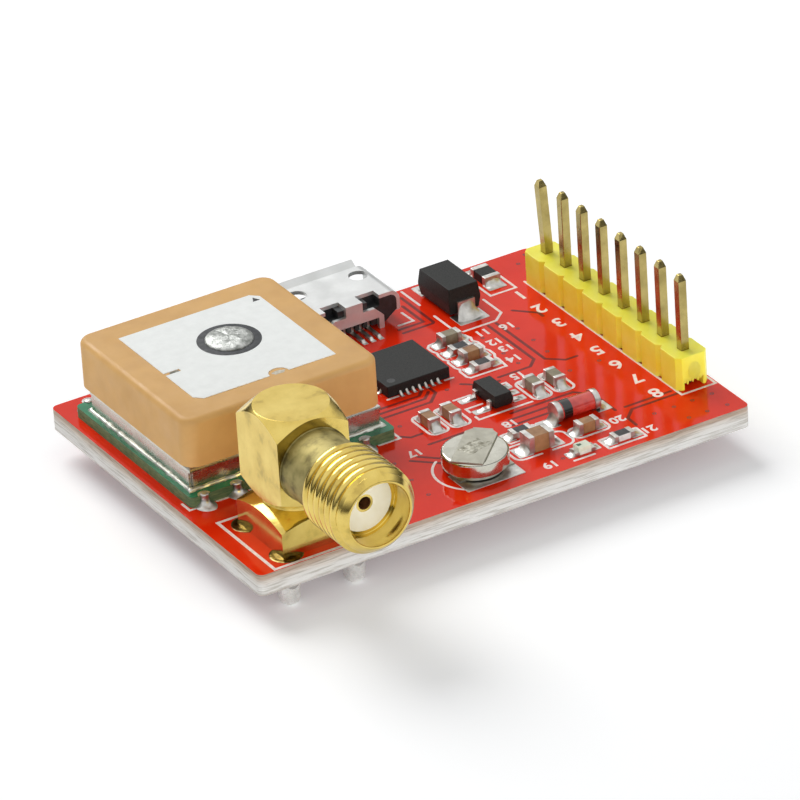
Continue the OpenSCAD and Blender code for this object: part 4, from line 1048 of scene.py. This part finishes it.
low, high = node_box("signal_diode_glass")
glass_mid = (low + high) / 2
glass_r = (high.z - low.z) / 2
inside, outside = glass_r - 0.02, glass_r + 0.015
band = Shape()
profile = [(inside, 0.0), (glass_r + 0.012, 0.0), (outside, 0.02), (outside, 0.68), (inside, 0.70)]
revolve(band, profile, 32, lambda u, v, h: (low.x + 0.12 + h, glass_mid.y + u, glass_mid.z + v))
build("cathode_band", band, BAND)

low, high = node_box("lamp_lens")
die = Shape()
left, right = low.x + 0.1, low.x + 0.42
outline = [(left, low.y + 0.2), (right, low.y + 0.3), (right, high.y - 0.3), (left, high.y - 0.2)]
slab(die, outline, high.z - SINK, high.z + 0.006)
build("lamp_mark", die, DIE)

low, high = node_box("cell_upper_tab")
WELD_X, WELD_Y = 19.25, 3.85
welds = Shape()
grid = []
for r in range(17):
    row = []
    for c in range(25):
        u, v = c / 12 - 1, r / 8 - 1
        edge = 1 + 0.22 * noise.noise(Vector((u * 2.2, v * 2.2, 5.0)))
        x, y = WELD_X + (0.95 * u - 0.25 * v) * edge, WELD_Y + (0.25 * u + 0.6 * v) * edge
        rim = min(1 - u * u, 1 - v * v) ** 0.5
        scale = 0.012 + 0.014 * noise.noise(Vector((x * 3.4, y * 3.4, 1.0)))
        row.append((x, y, high.z + 0.004 + rim * scale))
    grid.append(row)
solid_patch(welds, grid, high.z - SINK)
build("weld_marks", welds, WELD, angle=70)

low, high = node_box("interface_chip")
dimple = Shape()
profile = [(0.3, -SINK), (0.3, 0.004), (0.27, 0.008), (0.2, 0.004), (0.1, 0.003)]
revolve(dimple, profile, 24, upright(low.x + 0.7, low.y + 0.7, high.z))
build("chip_index", dimple, INSULATOR)


# Floor, light and camera
def seen(graph):
    """1 for what the camera, metal and glass see, 0 for what lights the scene."""
    path = graph.node("ShaderNodeLightPath").outputs
    mirrored = graph.math("MAXIMUM", path["Is Camera Ray"], path["Is Glossy Ray"])
    return graph.math("MAXIMUM", mirrored, path["Is Transmission Ray"])


# Half the floor's side in metres, its colour, and what it adds to itself where it is seen
FLOOR_REACH, FLOOR_WHITE, FLOOR_LIFT = 3.0, 0.96, 0.19


def floor():
    mesh = bpy.data.meshes.new("floor")
    corners = ((-1, -1), (1, -1), (1, 1), (-1, 1))
    mesh.from_pydata([(FLOOR_REACH * x, FLOOR_REACH * y, 0) for x, y in corners], [], [(0, 1, 2, 3)])
    material = bpy.data.materials.new("floor_white")
    graph = Graph(material, "ShaderNodeOutputMaterial")
    paper = graph.node("ShaderNodeBsdfDiffuse")
    paper.inputs["Color"].default_value = (FLOOR_WHITE, FLOOR_WHITE, FLOOR_WHITE, 1)
    lift = graph.node("ShaderNodeEmission")
    graph.link(graph.math("MULTIPLY", seen(graph), FLOOR_LIFT), lift.inputs["Strength"])
    both = graph.node("ShaderNodeAddShader")
    graph.link(paper.outputs["BSDF"], both.inputs[0])
    graph.link(lift.outputs["Emission"], both.inputs[1])
    graph.finish(both.outputs["Shader"])
    mesh.materials.append(material)
    ground = bpy.data.objects.new("floor", mesh)
    bpy.context.scene.collection.objects.link(ground)


# Strength of the ceiling and of the front wall, and how the wall's light ends behind and falls with height
CEILING, WALL, WALL_END, WALL_FALL = 0.22, 3.5, 0.5, 2
# Brightness of the tent that is seen, by the height of the ray
TENT = ((0.0, 0.08), (0.12, 0.12), (0.30, 0.46), (0.46, 1.0), (0.80, 1.0))


def world():
    sky = bpy.data.worlds.new("studio")
    bpy.context.scene.world = sky
    graph = Graph(sky, "ShaderNodeOutputWorld")
    ray = graph.node("ShaderNodeTexCoord").outputs["Generated"]
    height, depth = graph.axis(ray, "Z"), graph.axis(ray, "Y")
    low = graph.math("POWER", graph.fit(height, 0, 1, 1, 0), WALL_FALL)
    wall = graph.math("MULTIPLY", low, graph.fit(depth, -1, WALL_END, WALL, 0))
    fill = graph.node("ShaderNodeBackground")
    fill.inputs["Color"].default_value = (0.97, 0.985, 1.0, 1)
    graph.link(graph.math("ADD", wall, CEILING), fill.inputs["Strength"])
    tent = graph.node("ShaderNodeBackground")
    stops = [(place, (level, level, level)) for place, level in TENT]
    graph.link(graph.ramp(height, stops), tent.inputs["Color"])
    mix = graph.node("ShaderNodeMixShader")
    graph.link(seen(graph), mix.inputs["Fac"])
    graph.link(fill.outputs["Background"], mix.inputs[1])
    graph.link(tent.outputs["Background"], mix.inputs[2])
    graph.finish(mix.outputs["Shader"])


def area(name, place, size, power):
    lamp = bpy.data.lights.new(name, "AREA")
    lamp.shape = "DISK"
    lamp.size = size
    lamp.energy = power
    holder = bpy.data.objects.new(name, lamp)
    holder.location = place
    holder.rotation_euler = (-Vector(place)).to_track_quat("-Z", "Y").to_euler()
    bpy.context.scene.collection.objects.link(holder)


# The camera solved from the photo: its place in metres and its axes
CAMERA_PLACE = (-0.2346970463, -0.4192671751, 0.2705484210)
CAMERA_RIGHT = (0.8564079018, -0.5130269363, -0.0580419529)
CAMERA_UP = (0.2921575576, 0.3888527530, 0.8737491047)
CAMERA_BACK = (-0.4256870531, -0.7652430327, 0.4829012671)


def camera():
    lens = bpy.data.cameras.new("camera")
    lens.sensor_width = 36
    lens.lens = 360
    lens.clip_start = 0.01
    holder = bpy.data.objects.new("camera", lens)
    turn = Matrix((CAMERA_RIGHT, CAMERA_UP, CAMERA_BACK)).transposed().to_4x4()
    holder.matrix_world = Matrix.Translation(CAMERA_PLACE) @ turn
    bpy.context.scene.collection.objects.link(holder)
    bpy.context.scene.camera = holder


floor()
world()
area("back_key", (-0.04, 0.37, 0.39), 0.38, 2.1)
camera()
bpy.context.scene.view_settings.view_transform = "Standard"

bpy.context.view_layer.update()
